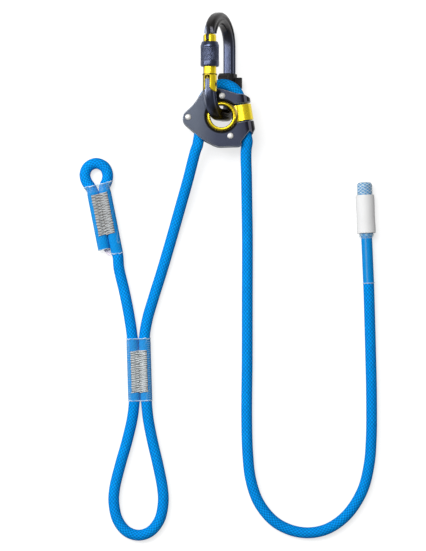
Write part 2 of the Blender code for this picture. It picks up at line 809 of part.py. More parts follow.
def bar_path():
    """The centre line of the bar in the connector's plane, from tang to nose."""
    width = BODY_WIDTH
    points = [(width, PIVOT_Y + TANG_LENGTH)]
    centre_y = BOTTOM_Y + GATE_BEND_R
    for k in range(9):
        a = -k * 90 * DEG / 8
        x = width - GATE_BEND_R + GATE_BEND_R * math.cos(a)
        points.append((x, centre_y + GATE_BEND_R * math.sin(a)))
    for k in range(7):
        a = -90 * DEG - k * 90 * DEG / 6
        x = SPINE_BEND_R + SPINE_BEND_R * math.cos(a)
        points.append((x, BOTTOM_Y + SPINE_BEND_R + SPINE_BEND_R * math.sin(a)))
    tip = math.asin((NOSE_TIP_Y - TOP_Y) / (width / 2))
    for k in range(15):
        a = 180 * DEG - k * (180 * DEG - tip) / 14
        x = width / 2 + width / 2 * math.cos(a)
        points.append((x, TOP_Y + width / 2 * math.sin(a)))
    return points


def bar_section(inset=0.0):
    """The bar's section: round corners and a shallow groove along each flank."""
    x = BAR_DEPTH / 2 - inset
    y = BAR_WIDTH / 2 - inset
    g = FLANK_GROOVE_HALF
    floor = y - FLANK_GROOVE
    r = BAR_FILLET
    side = [(x, -y, r), (x, y, r), (g, y, 0.0), (g * 0.6, floor, 0.0)]
    side += [(-g * 0.6, floor, 0.0), (-g, y, 0.0), (-x, y, r), (-x, -y, r)]
    side += [(-g, -y, 0.0), (-g * 0.6, -floor, 0.0), (g * 0.6, -floor, 0.0), (g, -y, 0.0)]
    return rounded(side)


def swept_bar(name):
    """The section carried along the planar centre line, square to it everywhere."""
    path = [Vector(p) for p in bar_path()]
    section = bar_section()
    bm = bmesh.new()
    rings = []
    for i, here in enumerate(path):
        before = path[max(i - 1, 0)]
        after = path[min(i + 1, len(path) - 1)]
        incoming = (here - before).normalized() if i else (after - here).normalized()
        outgoing = (after - here).normalized() if i < len(path) - 1 else incoming
        along = (incoming + outgoing).normalized()
        stretch = 1.0 / max(along.dot(incoming), 0.2)
        across = Vector((along.y, -along.x)) * stretch
        ring = []
        for u, v in section:
            ring.append(bm.verts.new((here.x + across.x * u, here.y + across.y * u, v)))
        rings.append(ring)
    count = len(section)
    for a, b in zip(rings, rings[1:]):
        for k in range(count):
            bm.faces.new((a[k], a[(k + 1) % count], b[(k + 1) % count], b[k]))
    bm.faces.new(rings[0][::-1])
    bm.faces.new(rings[-1])
    bmesh.ops.recalc_face_normals(bm, faces=bm.faces)
    return mesh_object(name, bm)


def connector_body(frame, mat):
    """Forged bar with a tang for the gate's fork and a thin nose for its slot."""
    body = swept_bar("connector_body")
    wide = BAR_WIDTH
    for side, name in ((-1, "low"), (1, "high")):
        near = side * TANG_THICK / 2
        far = side * wide
        middle = (near + far) / 2
        reach = abs(far - near)
        pocket_r = FORK_R + FORK_CLEARANCE
        pocket = cylinder(
            f"fork_pocket_{name}", pocket_r, reach, (BODY_WIDTH, PIVOT_Y, middle), sides=48
        )
        boolean(body, as_cutter(pocket, frame))
        low, high = sorted((near, far))
        above = box(
            f"fork_room_{name}",
            (BODY_WIDTH - pocket_r, PIVOT_Y, low),
            (BODY_WIDTH + pocket_r, PIVOT_Y + 3 * TANG_LENGTH, high),
        )
        boolean(body, as_cutter(above, frame))
        low, high = sorted((side * NOSE_THICK / 2, far))
        flat = box(
            f"nose_flat_{name}",
            (BODY_WIDTH - BAR_DEPTH, NOSE_TIP_Y - 3 * MM, low),
            (BODY_WIDTH + BAR_DEPTH, NOSE_SHOULDER_Y, high),
        )
        boolean(body, as_cutter(flat, frame))
        relief = box(
            f"nose_rib_{name}",
            (BODY_WIDTH + NOSE_RIB_IN, NOSE_SHOULDER_Y - 2 * MM, low),
            (BODY_WIDTH + BAR_DEPTH, NOSE_RIB_Y, high),
        )
        boolean(body, as_cutter(relief, frame))
    for inner, outer, name in ((-BAR_DEPTH, -NOSE_HALF, "inner"), (NOSE_HALF, BAR_DEPTH, "outer")):
        trim = box(
            f"nose_side_{name}",
            (BODY_WIDTH + inner, NOSE_TIP_Y - 3 * MM, -wide),
            (BODY_WIDTH + outer, NOSE_SHOULDER_Y, wide),
        )
        boolean(body, as_cutter(trim, frame))
    place = (BODY_WIDTH, PIVOT_Y, 0.0)
    hole = cylinder("tang_hole", PIVOT_R + TOUCH_GAP, 2 * wide, place, sides=24)
    boolean(body, as_cutter(hole, frame))
    return finish(body, "connector_body", mat, frame)


def gate_height(y):
    """A height along the connector, measured from the gate's pivot."""
    return y - PIVOT_Y


def gate(frame, mat):
    """Turned gate with a fork on the tang, a flange under the sleeve and a nose slot."""
    top = gate_height(GATE_TOP_Y)
    shelf = gate_height(FLANGE_Y)
    arc = [k * 30 * DEG for k in range(4)]
    r = GATE_TOP_ROUND
    profile = [(0.0, top)]
    profile += [(GATE_R - r + r * math.sin(a), top - r + r * math.cos(a)) for a in arc]
    profile += [(GATE_R, shelf + FLANGE_H / 2), (FLANGE_R, shelf + FLANGE_H / 2)]
    profile += [(FLANGE_R, shelf - FLANGE_H / 2), (FORK_R, shelf - FLANGE_H / 2)]
    profile += [(FORK_R, -FORK_R), (0.0, -FORK_R)]
    body = turned("gate", profile, 40)
    body.rotation_euler = (-90 * DEG, 0.0, 0.0)
    foot = [(2 * FORK_R, 0.0), (2 * FORK_R, 2 * top), (-2 * FORK_R, 2 * top), (-2 * FORK_R, 0.0)]
    angles = [180 * DEG + k * ARC_STEP for k in range(13)]
    foot += [(FORK_R * math.cos(a), FORK_R * math.sin(a)) for a in angles]
    shape = plate("gate_foot", [foot], 2 * FORK_R)
    boolean(body, as_cutter(shape, frame), "INTERSECT")
    wide = 3 * FORK_R
    low = (-wide, -wide, -FORK_SLOT / 2)
    fork = box("gate_fork_slot", low, (wide, FORK_SLOT_TOP, FORK_SLOT / 2))
    boolean(body, as_cutter(fork, frame))
    floor = gate_height(NOSE_TIP_Y - NOSE_TIP_GAP)
    low = (-wide, floor, -NOSE_SLOT / 2)
    slot = box("gate_nose_slot", low, (wide, 2 * top, NOSE_SLOT / 2))
    boolean(body, as_cutter(slot, frame))
    hole = cylinder("gate_pivot_hole", PIVOT_R + TOUCH_GAP, 2 * wide, sides=24)
    boolean(body, as_cutter(hole, frame))
    start = FORK_SLOT_TOP - 1.0 * MM
    end = gate_height(GATE_BORE_END_Y)
    place = (0.0, (start + end) / 2, 0.0)
    bore = cylinder("gate_bore", GATE_BORE_R, end - start, place, "Y", sides=20)
    boolean(body, as_cutter(bore, frame))
    return finish(body, "gate", mat, frame)


def gate_pivot(frame, mat):
    """The rivet through fork and tang, its ends flush with the fork."""
    reach = FORK_R - 2 * TOUCH_GAP
    edge = 0.4 * MM
    profile = [(0.0, reach), (PIVOT_R - edge, reach), (PIVOT_R, reach - edge)]
    profile += [(radius, -height) for radius, height in profile[::-1]]
    finish(turned("gate_pivot", profile, 20), "gate_pivot", mat, frame)


def gate_plunger(frame, mat):
    """A round-tipped pin that the spring presses on the end of the tang."""
    low = TANG_LENGTH + TOUCH_GAP
    top = low + PLUNGER_LENGTH
    arc = [k * 22.5 * DEG for k in range(5)]
    profile = [(0.0, top), (PLUNGER_R, top)]
    tip = [(PLUNGER_R * math.cos(a), low + PLUNGER_R * (1 - math.sin(a))) for a in arc]
    tip[-1] = (0.0, low)
    body = turned("gate_plunger", profile + tip, 20)
    body.rotation_euler = (-90 * DEG, 0.0, 0.0)
    return finish(body, "gate_plunger", mat, frame)


def least_gap(points, wire, pitch_points):
    """The smallest clear space between a wound wire and its own other curls."""
    p = np.array(points)
    best = math.inf
    for i in range(len(p) - pitch_points):
        far = np.linalg.norm(p[i + pitch_points :] - p[i], axis=1).min()
        best = min(best, far)
    return best - wire


def gate_spring(frame, mat):
    """The return spring between the plunger and the end of the bore."""
    low = TANG_LENGTH + TOUCH_GAP + PLUNGER_LENGTH + TOUCH_GAP
    high = gate_height(GATE_BORE_END_Y) - TOUCH_GAP
    first = low + SPRING_WIRE
    last = high - SPRING_WIRE
    total = SPRING_CURLS * SPRING_POINTS
    points = [(SPRING_R, low, 0.0)]
    for k in range(total + 1):
        a = 2 * math.pi * k / SPRING_POINTS
        y = first + (last - first) * k / total
        points.append((SPRING_R * math.cos(a), y, SPRING_R * math.sin(a)))
    points.append((points[-1][0], high, points[-1][2]))
    print("gate_spring least gap, mm:", round(least_gap(points, SPRING_WIRE, 7) / MM, 3))
    return tube("gate_spring", points, SPRING_WIRE / 2, 1, mat, frame)


def screw_sleeve(frame, mat):
    """The gripped sleeve, with a groove inside for its retaining ring."""
    top = SLEEVE_LENGTH
    bore = SLEEVE_BORE_R
    grip = SLEEVE_R - GRIP_RECESS
    groove = bore + RING_DEPTH + TOUCH_GAP
    profile = [
        (bore, top),
        (SLEEVE_TOP_R, top),
        (SLEEVE_R, top - SLEEVE_TOP_CHAMFER),
        (SLEEVE_R, GRIP_Y + GRIP_LENGTH),
        (grip, GRIP_Y + GRIP_LENGTH - GRIP_RECESS),
        (grip, GRIP_Y + GRIP_RECESS),
        (SLEEVE_R, GRIP_Y),
        (SLEEVE_R, SLEEVE_LOW_CHAMFER),
        (SLEEVE_R - SLEEVE_LOW_CHAMFER, 0.0),
        (bore, 0.0),
        (bore, RING_Y - TOUCH_GAP),
        (groove, RING_Y - TOUCH_GAP),
        (groove, RING_Y + RING_WIDTH + TOUCH_GAP),
        (bore, RING_Y + RING_WIDTH + TOUCH_GAP),
    ]
    body = turned("screw_sleeve", profile, 40, closed=True)
    body.rotation_euler = (-90 * DEG, 0.0, 0.0)
    return finish(body, "screw_sleeve", mat, frame)


def sleeve_ring(frame, mat):
    inner = GATE_R + TOUCH_GAP
    outer = SLEEVE_BORE_R + RING_DEPTH
    low, high = RING_Y, RING_Y + RING_WIDTH
    profile = [(inner, high), (outer, high), (outer, low), (inner, low)]
    body = turned("sleeve_ring", profile, 32, closed=True)
    body.rotation_euler = (-90 * DEG, 0.0, 0.0)
    return finish(body, "sleeve_ring", mat, frame)


def keeper(frame, mat):
    """Rubber collar round the spine with a lobe inside the connector and an outer ear."""
    x = BAR_DEPTH / 2 + KEEPER_WALL
    z = BAR_WIDTH / 2 + KEEPER_WALL
    top = KEEPER_Y + KEEPER_LENGTH
    collar = plate("keeper", [round_box_outline(x, z, BAR_FILLET)], KEEPER_LENGTH / 2)
    collar.rotation_euler = (90 * DEG, 0.0, 0.0)
    collar.location = (0.0, KEEPER_Y + KEEPER_LENGTH / 2, 0.0)
    corners = [(0.0, 0.0, 0.0), (0.0, LOBE_LENGTH, 0.0)]
    corners += [(x + LOBE_DEPTH * 0.5, LOBE_LENGTH, 1.5 * MM)]
    corners += [(x + LOBE_DEPTH, LOBE_LENGTH * 0.5, 1.5 * MM), (x + LOBE_DEPTH, 0.0, 1.0 * MM)]
    lobe = plate("keeper_lobe", [rounded(corners)], LOBE_WIDTH / 2)
    lobe.location = (0.0, top - LOBE_LENGTH, z - LOBE_WIDTH / 2 - 0.2 * MM)
    boolean(collar, as_cutter(lobe, frame), "UNION")
    ear = box(
        "keeper_ear",
        (-EAR_THICK / 2, EAR_Y, -z - EAR_REACH),
        (EAR_THICK / 2, EAR_Y + EAR_LENGTH, 0.0),
    )
    boolean(collar, as_cutter(ear, frame), "UNION")
    w = BAR_DEPTH / 2 + TOUCH_GAP
    h = BAR_WIDTH / 2 + TOUCH_GAP
    hole = plate("keeper_hole", [round_box_outline(w, h, BAR_FILLET)], 2 * KEEPER_LENGTH)
    hole.rotation_euler = (90 * DEG, 0.0, 0.0)
    hole.location = (0.0, KEEPER_Y + KEEPER_LENGTH / 2, 0.0)
    boolean(collar, as_cutter(hole, frame))
    return finish(collar, "keeper", mat, frame)


def connector(root, mats):
    """Connector hung in the eye: it swings about the eye's axis, its gate on the pivot."""
    swing = empty("connector_swing_axis", root, (0.0, 0.0, ADJUSTER_Z))
    place = (SPINE_X, 0.0, SPINE_Z - ADJUSTER_Z)
    plane = empty("connector_frame", swing, place, (0.0, 180 * DEG + PLANE_TILT, 0.0))
    connector_body(plane, mats["anodised"])
    keeper(plane, mats["rubber"])
    hinge = empty("gate_axis", plane, (BODY_WIDTH, PIVOT_Y, 0.0))
    gate_pivot(hinge, mats["steel"])
    gate(hinge, mats["gold"])
    gate_plunger(hinge, mats["steel"])
    gate_spring(hinge, mats["steel"])
    screw = empty("sleeve_axis", hinge, (0.0, gate_height(SLEEVE_Y), 0.0))
    screw_sleeve(screw, mats["anodised"])
    sleeve_ring(screw, mats["steel"])


def adjuster(root, mats):
    frame = empty("adjuster_frame", root, (0.0, 0.0, ADJUSTER_Z), (0.0, 0.0, ADJUSTER_TURN))
    shell(frame, mats["anodised"])
    rivets(frame, mats["steel"])
    eye(frame, mats["gold"])


def main():
    mats = {
        "rope": material("rope blue braid", ROPE_BLUE, 0.8),
        "anodised": material("anodised dark", ANODISED, 0.35, 0.9),
        "gold": material("anodised gold", GOLD, 0.3, 0.9),
        "steel": material("steel", STEEL, 0.25, 1.0),
        "rubber": material("black rubber", BLACK, 0.6),
        "thread": material("grey thread", THREAD, 0.85),
        "film": material("shrink film", FILM, 0.25),
        "paper": material("white sleeve", PAPER, 0.6),
    }
    root = empty("y_lanyard_frame", None, (FRAME_X, FRAME_Y, 0.0))
    rope(root, mats["rope"])
    seams(root, mats)
    tail_stopper(root, mats)
    adjuster(root, mats)
    connector(root, mats)
    bpy.context.view_layer.update()


clear_scene()
PARTS = new_collection("y_lanyard")
CUTTERS = new_collection("cutters")
CUTTERS.hide_render = True
main()
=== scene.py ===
"""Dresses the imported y-lanyard: braided rope, sewn seams under clear film, anodised
adjuster and connector, and a plain pale stage with the camera straight above."""

import math
from typing import NamedTuple

import bmesh
import bpy
import numpy as np
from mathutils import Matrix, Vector


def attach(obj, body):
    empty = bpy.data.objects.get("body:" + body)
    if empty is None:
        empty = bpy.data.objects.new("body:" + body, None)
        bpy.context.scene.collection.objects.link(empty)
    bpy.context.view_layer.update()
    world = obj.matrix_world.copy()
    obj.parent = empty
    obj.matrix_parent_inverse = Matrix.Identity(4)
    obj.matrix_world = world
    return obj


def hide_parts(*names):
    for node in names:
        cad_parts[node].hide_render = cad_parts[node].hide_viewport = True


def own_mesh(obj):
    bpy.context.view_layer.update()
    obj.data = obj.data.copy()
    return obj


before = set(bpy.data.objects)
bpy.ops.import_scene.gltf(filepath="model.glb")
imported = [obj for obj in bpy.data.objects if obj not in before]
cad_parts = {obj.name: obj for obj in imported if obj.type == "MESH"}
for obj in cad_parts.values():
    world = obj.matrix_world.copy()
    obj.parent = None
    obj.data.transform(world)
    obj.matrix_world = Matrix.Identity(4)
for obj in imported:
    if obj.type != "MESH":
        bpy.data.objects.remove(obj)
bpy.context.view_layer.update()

bl_info = {
    "name": "Y-lanyard dresser",
    "version": (1, 0, 0),
    "blender": (4, 5, 0),
    "location": "3D View > Sidebar > Lanyard",
    "description": "Braided rope, sewn seams, anodised metal and stage for a y-lanyard",
    "category": "Object",
}

MM = 0.001
DEG = math.pi / 180

# The layout's origin lies under the axis of the adjuster's eye
SHIFT = np.array((2.5, -32.3, 0.0)) * MM
UP = np.array((0.0, 0.0, 1.0))

# Adjuster and connector
ADJUSTER_Z = 22.6 * MM
ADJUSTER_TURN = 9.6 * DEG
SPINE = np.array((7.2, 0.0, 7.15)) * MM + SHIFT
PLANE_TILT = 67.0 * DEG
BODY_WIDTH = 45.0 * MM
SLEEVE_Y = 41.8 * MM
GRIP_RADIUS = 8.2 * MM
KNURL_ENDS = (4.6 * MM, 17.2 * MM)
KNURL_COUNT = 28
KNURL_PITCH = 1.85 * MM

# Rope and its two seams
ROPE_DIAMETER = 9.8 * MM
RUN_HALF = 5.6 * MM
SEAM_Z = 6.6 * MM
FILM_HALF_WIDTH = 11.15 * MM
FILM_HALF_HEIGHT = 6.3 * MM
PRESS = 0.23 * MM
CUT_END_SHIFT = -26.9 * MM


class Seam(NamedTuple):
    """A sewn seam. film and stitch are a length and a shift along it; flare is the length,
    shift and widening of its film's upper end; step is where and by how much the film's
    left part ends earlier. The rest says how its thread and film look."""

    place: tuple
    turn: float
    film: tuple
    stitch: tuple
    seed: int
    flare: tuple = ()
    step: tuple = ()
    pitch: float = 1.0
    thickness: float = 1.0
    thread_tone: float = 0.95
    bed_shade_tone: float = 1.5
    haze: float = 0.03
    dashes: float = 0.30


MID = Seam(
    place=(-73.6 * MM, -225.4 * MM), turn=1.7 * DEG, film=(56.0 * MM, 0.0),
    stitch=(37.0 * MM, -1.8 * MM), seed=3,
)
EYE = Seam(
    place=(-105.2 * MM, -90.0 * MM), turn=11.2 * DEG, film=(58.8 * MM, -4.1 * MM),
    stitch=(37.0 * MM, 3.9 * MM), seed=8, flare=(5.7 * MM, 0.6 * MM, 2.5 * MM),
    step=(-0.3 * MM, 5.9 * MM), pitch=1.22, thickness=1.12, thread_tone=0.72,
    bed_shade_tone=1.9, haze=0.005, dashes=0.06,
)

# Rows of stitches: left and right end in mm, share of the step, way along the seam
STITCH_ROWS = ((-7.45, 0.45, 1.0, 1), (-0.1, 7.45, 0.86, -1))
BED_HALF_WIDTH = 7.3 * MM

# Strip under the eye's film, with both sides in mm from the seam's centre
TAB_LEFT = ((-6.6, -21.0), (-7.0, -26.4), (-2.4, -33.6))
TAB_RIGHT = ((0.4, -21.0), (-0.25, -27.1), (-0.9, -33.2))
TAB_LIFT = 5.0 * MM
TAB_CURL = (-26.4 * MM, 4.8 * MM)
TAB_LEVEL = -5.37 * MM

# Tail end, with profiles as depth from the tip and radius, in mm
TAIL_TIP = (128.0 * MM, -57.3 * MM)
TAIL_TURN = 2.45 * DEG
TAIL_Z = 7.8 * MM
STOPPER_LENGTH = 44.0 * MM
STOPPER_CONE = 6.0 * MM
SHRINK_LENGTH = 91.0 * MM
STOPPER_PROFILE = (
    (0.8, 5.0), (1.2, 5.7), (2.2, 6.3), (STOPPER_LENGTH / MM, 6.3),
    ((STOPPER_LENGTH + STOPPER_CONE) / MM, 4.9),
)
TUBE_PROFILE = (
    (0.0, 3.6), (0.3, 4.9), (0.9, 5.9), (1.8, 6.6), (3.2, 7.0), (10, 7.05), (46, 7.05),
    (48.5, 6.7), (52, 5.9), (56, 5.7), (70, 5.68), (91, 5.72),
)
LABEL_ENDS = (-11.7 * MM, -45.9 * MM)
LABEL_HALVES = (8.3 * MM, 8.3 * MM, 7.72 * MM)

# Wall thicknesses
FILM_WALL = 0.22 * MM
TUBE_WALL = 0.25 * MM
LABEL_WALL = 0.4 * MM
TAB_WALL = 0.3 * MM

# Fixed colours: milky film, braid under film, dust on rubber, full shade, background
MILKY = (0.90, 0.98, 1.0)
COVERED = (0.0, 0.225, 0.60)
DUST = (0.03, 0.03, 0.03)
BLACK = (0.002, 0.002, 0.002)
WHITE = (1.0, 1.0, 1.0)

# Painted light and shade, as fades, rings, lines and spots
# Painted shade: the plate turns to its deeper colour from x = -19 mm to -2 mm, darker on its
# right side
PLATE_SHADE_FADE = (0, -19 * MM, -2 * MM)
# Painted shade: a black band round the eye on the plate and its rounded edges, for the shade in
# the gap
PLATE_EYE_SHADE = ((13.9 * MM, 2.0 * MM, BLACK),)
# Painted shadow: a black patch on the plate beside the gate's lower end
GATE_SHADOW_SPOT = ((0.7 * MM, -15.3 * MM), 19 * DEG, (3.7 * MM, 9.6 * MM), BLACK)
# Painted reflection along the plate's fold: two bands of painted shade and one of painted
# highlight
FOLD_LIGHT_BANDS = (
    (20.7 * MM, 2.3 * MM, (0.022, 0.023, 0.040)),
    (27.6 * MM, 4.6 * MM, (0.004, 0.004, 0.006)),
    (23.4 * MM, 1.5 * MM, (0.30, 0.30, 0.37)),
)
FOLD_HALF_LENGTH = 70 * MM
# Painted shade on the eye: a dark band round the outside of its lip and one on its inner wall
EYE_SHADE_RINGS = (
    (13.6 * MM, 1.35 * MM, (0.12, 0.078, 0.006)),
    (9.3 * MM, 1.0 * MM, (0.05, 0.032, 0.004)),
)
# Painted light: the bar turns to a neutral grey from y = 26 mm to 46 mm, towards its top bend,
# as the light makes it look there
BAR_TOP_LIGHT_FADE = (1, 26 * MM, 46 * MM)
# Painted shade: the bar darkens within 13 mm of the eye's axis, where it passes through the eye
BAR_EYE_SHADE = ((0.0, 13.0 * MM, (0.016, 0.012, 0.006)),)
# Painted highlight: a lighter band along the bar's lit left flank
BAR_LIT_FLANK = ((0, -12.9 * MM, 2.6 * MM, (0.15, 0.17, 0.225)),)
# Painted shade on the gate: a darker left flank and a dark line in the barrel's groove
GATE_SHADE_LINES = (
    (0, -14.4 * MM, 2.3 * MM, (0.15, 0.12, 0.035)),
    (1, 2.6 * MM, 0.55 * MM, (0.01, 0.008, 0.002)),
)

# Stage: middle of the picture, floor, and each lamp's place from that middle and width
PICTURE_CENTRE = np.array((-7.553, -141.115, 0.0)) * MM + SHIFT
FLOOR_HALF = 4.0
FLOOR_DROP = 0.15 * MM
FLOOR_GREY = (0.36, 0.36, 0.36)
FLOOR_SEEN = 0.71
LAMPS = {
    "key": ((-1.0, 0.45, 1.5), 0.5),
    "top": ((-0.45, 0.85, 2.1), 1.2),
    "edge": ((-1.15, 0.22, 0.65), 0.6),
}

# Route of the rope, in mm from the layout's origin
IN_ADJUSTER = (
    (-24.2, -18.7), (-21.6, -11.0), (-20.2, -3.0), (-19.7, 4.0), (-17.4, 11.5),
    (-13.0, 18.4), (-6.8, 24.2), (0.4, 27.7), (6.5, 27.9), (12.4, 25.2), (16.8, 20.0),
    (18.8, 13.0), (19.0, 6.0), (19.0, -6.0), (19.0, -14.0), (19.0, -22.5),
)
ADJUSTABLE_ARM = (
    (-66.4, -180.2, 5.3), (-61.5, -163.1, 4.9), (-53.1, -136.2, 4.9),
    (-45.2, -109.3, 5.2), (-37.5, -82.4, 8.6), (-29.9, -55.9, 15.4), (-22.9, -29.6, 21.6),
)
HARNESS_LOOP = (
    (-80.1, -269.9, 5.0), (-84.7, -289.7, 4.9), (-90.8, -311.2, 4.9),
    (-95.9, -332.7, 4.9), (-96.5, -345.5, 4.9), (-93.1, -360.4, 4.9),
    (-84.9, -370.8, 4.9), (-74.3, -374.2, 4.9), (-63.8, -370.8, 4.9),
    (-55.6, -360.4, 4.9), (-52.3, -345.5, 4.9), (-52.8, -332.7, 4.9),
    (-56.9, -311.2, 4.9), (-61.9, -289.7, 4.9), (-65.7, -269.9, 5.0),
)
FIXED_ARM = ((-92.0, -134.2, 5.3), (-86.9, -156.4, 4.9), (-82.9, -176.6, 5.3))
STITCHED_EYE = (
    (-121.0, -56.8, 5.2), (-122.5, -50.2, 4.9), (-119.6, -43.6, 4.9),
    (-112.4, -40.4, 4.9), (-105.2, -43.4, 4.9), (-102.2, -49.6, 4.9), (-102.7, -56.2, 5.2),
)
TAIL = (
    (21.9, -29.6, 21.6), (22.4, -55.9, 15.4), (22.9, -82.4, 8.6), (23.3, -109.3, 5.2),
    (23.2, -163.1, 4.9), (23.1, -217.0, 4.9), (22.7, -268.1, 4.9), (23.6, -300.4, 4.9),
    (26.3, -324.0, 4.9), (33.6, -345.0, 4.9), (47.5, -361.8, 4.9), (64.3, -370.2, 4.9),
    (81.0, -371.9, 4.9), (97.0, -367.6, 4.9), (112.9, -355.6, 4.9), (126.4, -334.5, 4.9),
    (132.5, -311.2, 4.9), (134.5, -287.0, 4.9), (134.7, -246.6, 4.9),
    (133.8, -206.0, 4.9), (132.9, -176.0, 6.2),
)


def number_setting(name, description, default, unit="LENGTH"):
    return bpy.props.FloatProperty(
        name=name, description=description, default=default, unit=unit
    )


def colour_setting(name, description, *default):
    return bpy.props.FloatVectorProperty(
        name=name, description=description, default=default, subtype="COLOR"
    )


class RopeSettings(bpy.types.PropertyGroup):
    """Sizes and colours of the braided rope."""

    diameter: number_setting("Diameter", "Rope thickness", ROPE_DIAMETER)
    step: number_setting("Step", "Distance between rings of the rope's surface", 1.4 * MM)
    sides: bpy.props.IntProperty(
        name="Sides", description="Points round the rope", default=36
    )
    strands: bpy.props.IntProperty(
        name="Strands", description="Yarn groups of the sheath in each direction", default=10
    )
    colour: colour_setting("Colour", "Colour of the sheath", 0.0, 0.280, 0.82)
    tracer: colour_setting("Tracer", "Colour of the light tracer yarns", 0.0, 0.315, 0.86)


class SeamSettings(bpy.types.PropertyGroup):
    """Sizes and colours of the sewn seams, their films and the tail's sleeve."""

    thread_radius: number_setting(
        "Thread radius", "Half the thickness of the sewing thread", 0.40 * MM
    )
    thread_step: number_setting("Stitch step", "Length of one zigzag of the thread", 1.95 * MM)
    thread: colour_setting("Thread", "Colour of the thread", 0.56, 0.58, 0.59)
    # Painted shade: the thread under the passes, darkened as it is seen in the gaps between
    # them
    under: colour_setting(
        "Under", "Colour of the sewn mass seen between the threads", 0.10, 0.097, 0.095
    )
    film: colour_setting("Film", "Tint of the shrink film", 0.36, 0.58, 0.66)
    tab: colour_setting("Tab", "Colour of the strip under the eye's film", 0.86, 0.79, 0.86)
    label: colour_setting("Label", "Colour of the tail's printed sleeve", 0.70, 0.70, 0.70)


class MetalSettings(bpy.types.PropertyGroup):
    """Colours and edge rounding of adjuster and connector."""

    dark: colour_setting("Dark", "Dark anodised plate", 0.052, 0.060, 0.079)
    # Painted shade: the colour that the plate turns to on its right side
    deep: colour_setting("Deep", "Plate's dye in its darker half", 0.027, 0.031, 0.050)
    # Painted highlight: the plate's rounded edges are lighter, for the light that catches them
    edge_highlight: colour_setting("Rim", "Plate's rounded edges, worn lighter", 0.30, 0.32, 0.36)
    bar: colour_setting(
        "Bar", "Anodised connector body and screw sleeve", 0.062, 0.074, 0.122
    )
    # Painted light: the neutral grey that the bar turns to at its top bend
    top: colour_setting("Top", "Neutral dye at the connector's top bend", 0.048, 0.045, 0.046)
    gold: colour_setting("Gold", "Gold anodised aluminium", 0.97, 0.70, 0.015)
    steel: colour_setting("Steel", "Plain steel", 0.70, 0.69, 0.67)
    dim: colour_setting(
        "Dim steel", "Oiled steel of spring, plunger and pin", 0.09, 0.085, 0.08
    )
    rubber: colour_setting("Rubber", "Black rubber", 0.006, 0.006, 0.007)
    edge: number_setting("Edge", "Width of the rounded plate edges", 0.6 * MM)
    knurl: number_setting("Knurl", "Depth of the sleeve's diamond grip", 0.46 * MM)


class StageSettings(bpy.types.PropertyGroup):
    """Camera height and light levels."""

    height: number_setting("Camera height", "Height of the camera over the floor", 1.8)
    view_height: number_setting("View", "Length of floor that the picture is high", 0.4959)
    key: number_setting("Key", "Power of the lamp on the left", 7.5, "POWER")
    top: number_setting("Top", "Power of the wide lamp overhead", 38.0, "POWER")
    edge: number_setting("Edge", "Power of the low lamp that lights the edges", 6.5, "POWER")
    sky: number_setting("Sky", "Strength of the light from all round", 0.24, "NONE")


# Materials


def shade(colour, factor=1.0):
    """The colour times a factor, with the fourth value that a colour socket takes."""
    return tuple(min(1.0, c * factor) for c in colour) + (1.0,)


class Graph:
    """The nodes of a material or world round its shader, built by short calls. noise in a
    call stands for a noise texture's scale, detail and roughness."""

    def __init__(self, owner, shader):
        owner.use_nodes = True
        self.owner = owner
        self.tree = owner.node_tree
        self.shader = self.tree.nodes[shader]

    def plug(self, value, socket):
        """Joins a node's output to a socket, or writes a plain value into it."""
        if isinstance(value, bpy.types.NodeSocket):
            self.tree.links.new(value, socket)
        else:
            socket.default_value = value

    def to(self, socket, value):
        self.plug(value, self.shader.inputs[socket])

    def node(self, kind, output=0, inputs=(), **options):
        made = self.tree.nodes.new("ShaderNode" + kind)
        for key, value in options.items():
            setattr(made, key, value)
        for socket, value in dict(inputs).items():
            self.plug(value, made.inputs[socket])
        return made.outputs[output]

    def math(self, operation, a, b=0.0, c=0.0):
        return self.node("Math", operation=operation, inputs={0: a, 1: b, 2: c})

    def vector_math(self, operation, a, b=(0, 0, 0)):
        output = "Value" if operation == "LENGTH" else "Vector"
        return self.node("VectorMath", output, {0: a, 1: b}, operation=operation)

    def mix(self, factor, a, b):
        return self.node("Mix", 2, {0: factor, 6: a, 7: b}, data_type="RGBA")

    def place(self):
        return self.node("TexCoord", "Object")

    def part(self, vector, axis):
        return self.node("SeparateXYZ", axis, {0: vector})

    def painted(self, name):
        return self.node("Attribute", "Fac", attribute_name=name)

    def noise(self, scale, detail=2.0, rough=0.5):
        inputs = {"Vector": self.place(), "Scale": scale, "Detail": detail, "Roughness": rough}
        return self.node("TexNoise", "Fac", inputs)

    def span(self, value, low, high):
        """Maps 0..1 to low..high."""
        return self.node("MapRange", inputs={0: value, 3: low, 4: high})

    def ramp(self, value, low, high, top=1.0):
        """Maps low..high to 0..top, and holds these values beyond."""
        return self.node("MapRange", inputs={0: value, 1: low, 2: high, 4: top})

    def bump(self, height, distance, strength=1.0, below=(0, 0, 0)):
        inputs = {"Height": height, "Distance": distance, "Strength": strength}
        return self.node("Bump", inputs={**inputs, "Normal": below})

    def tones(self, colour, low, high, *noise):
        """A cloudy colour between a darker and a lighter tone."""
        return self.mix(self.noise(*noise), shade(colour, low), shade(colour, high))

    def rough(self, low, high, *noise):
        """Uneven roughness between two values."""
        self.to("Roughness", self.span(self.noise(*noise), low, high))

    def grain(self, depth, strength, *noise):
        """Fine relief."""
        self.to("Normal", self.bump(self.noise(*noise), depth, strength))


def principled(name, colour, roughness, metallic=0.0):
    g = Graph(bpy.data.materials.new(name), "Principled BSDF")
    g.to("Base Color", shade(colour))
    g.to("Roughness", roughness)
    g.to("Metallic", metallic)
    return g


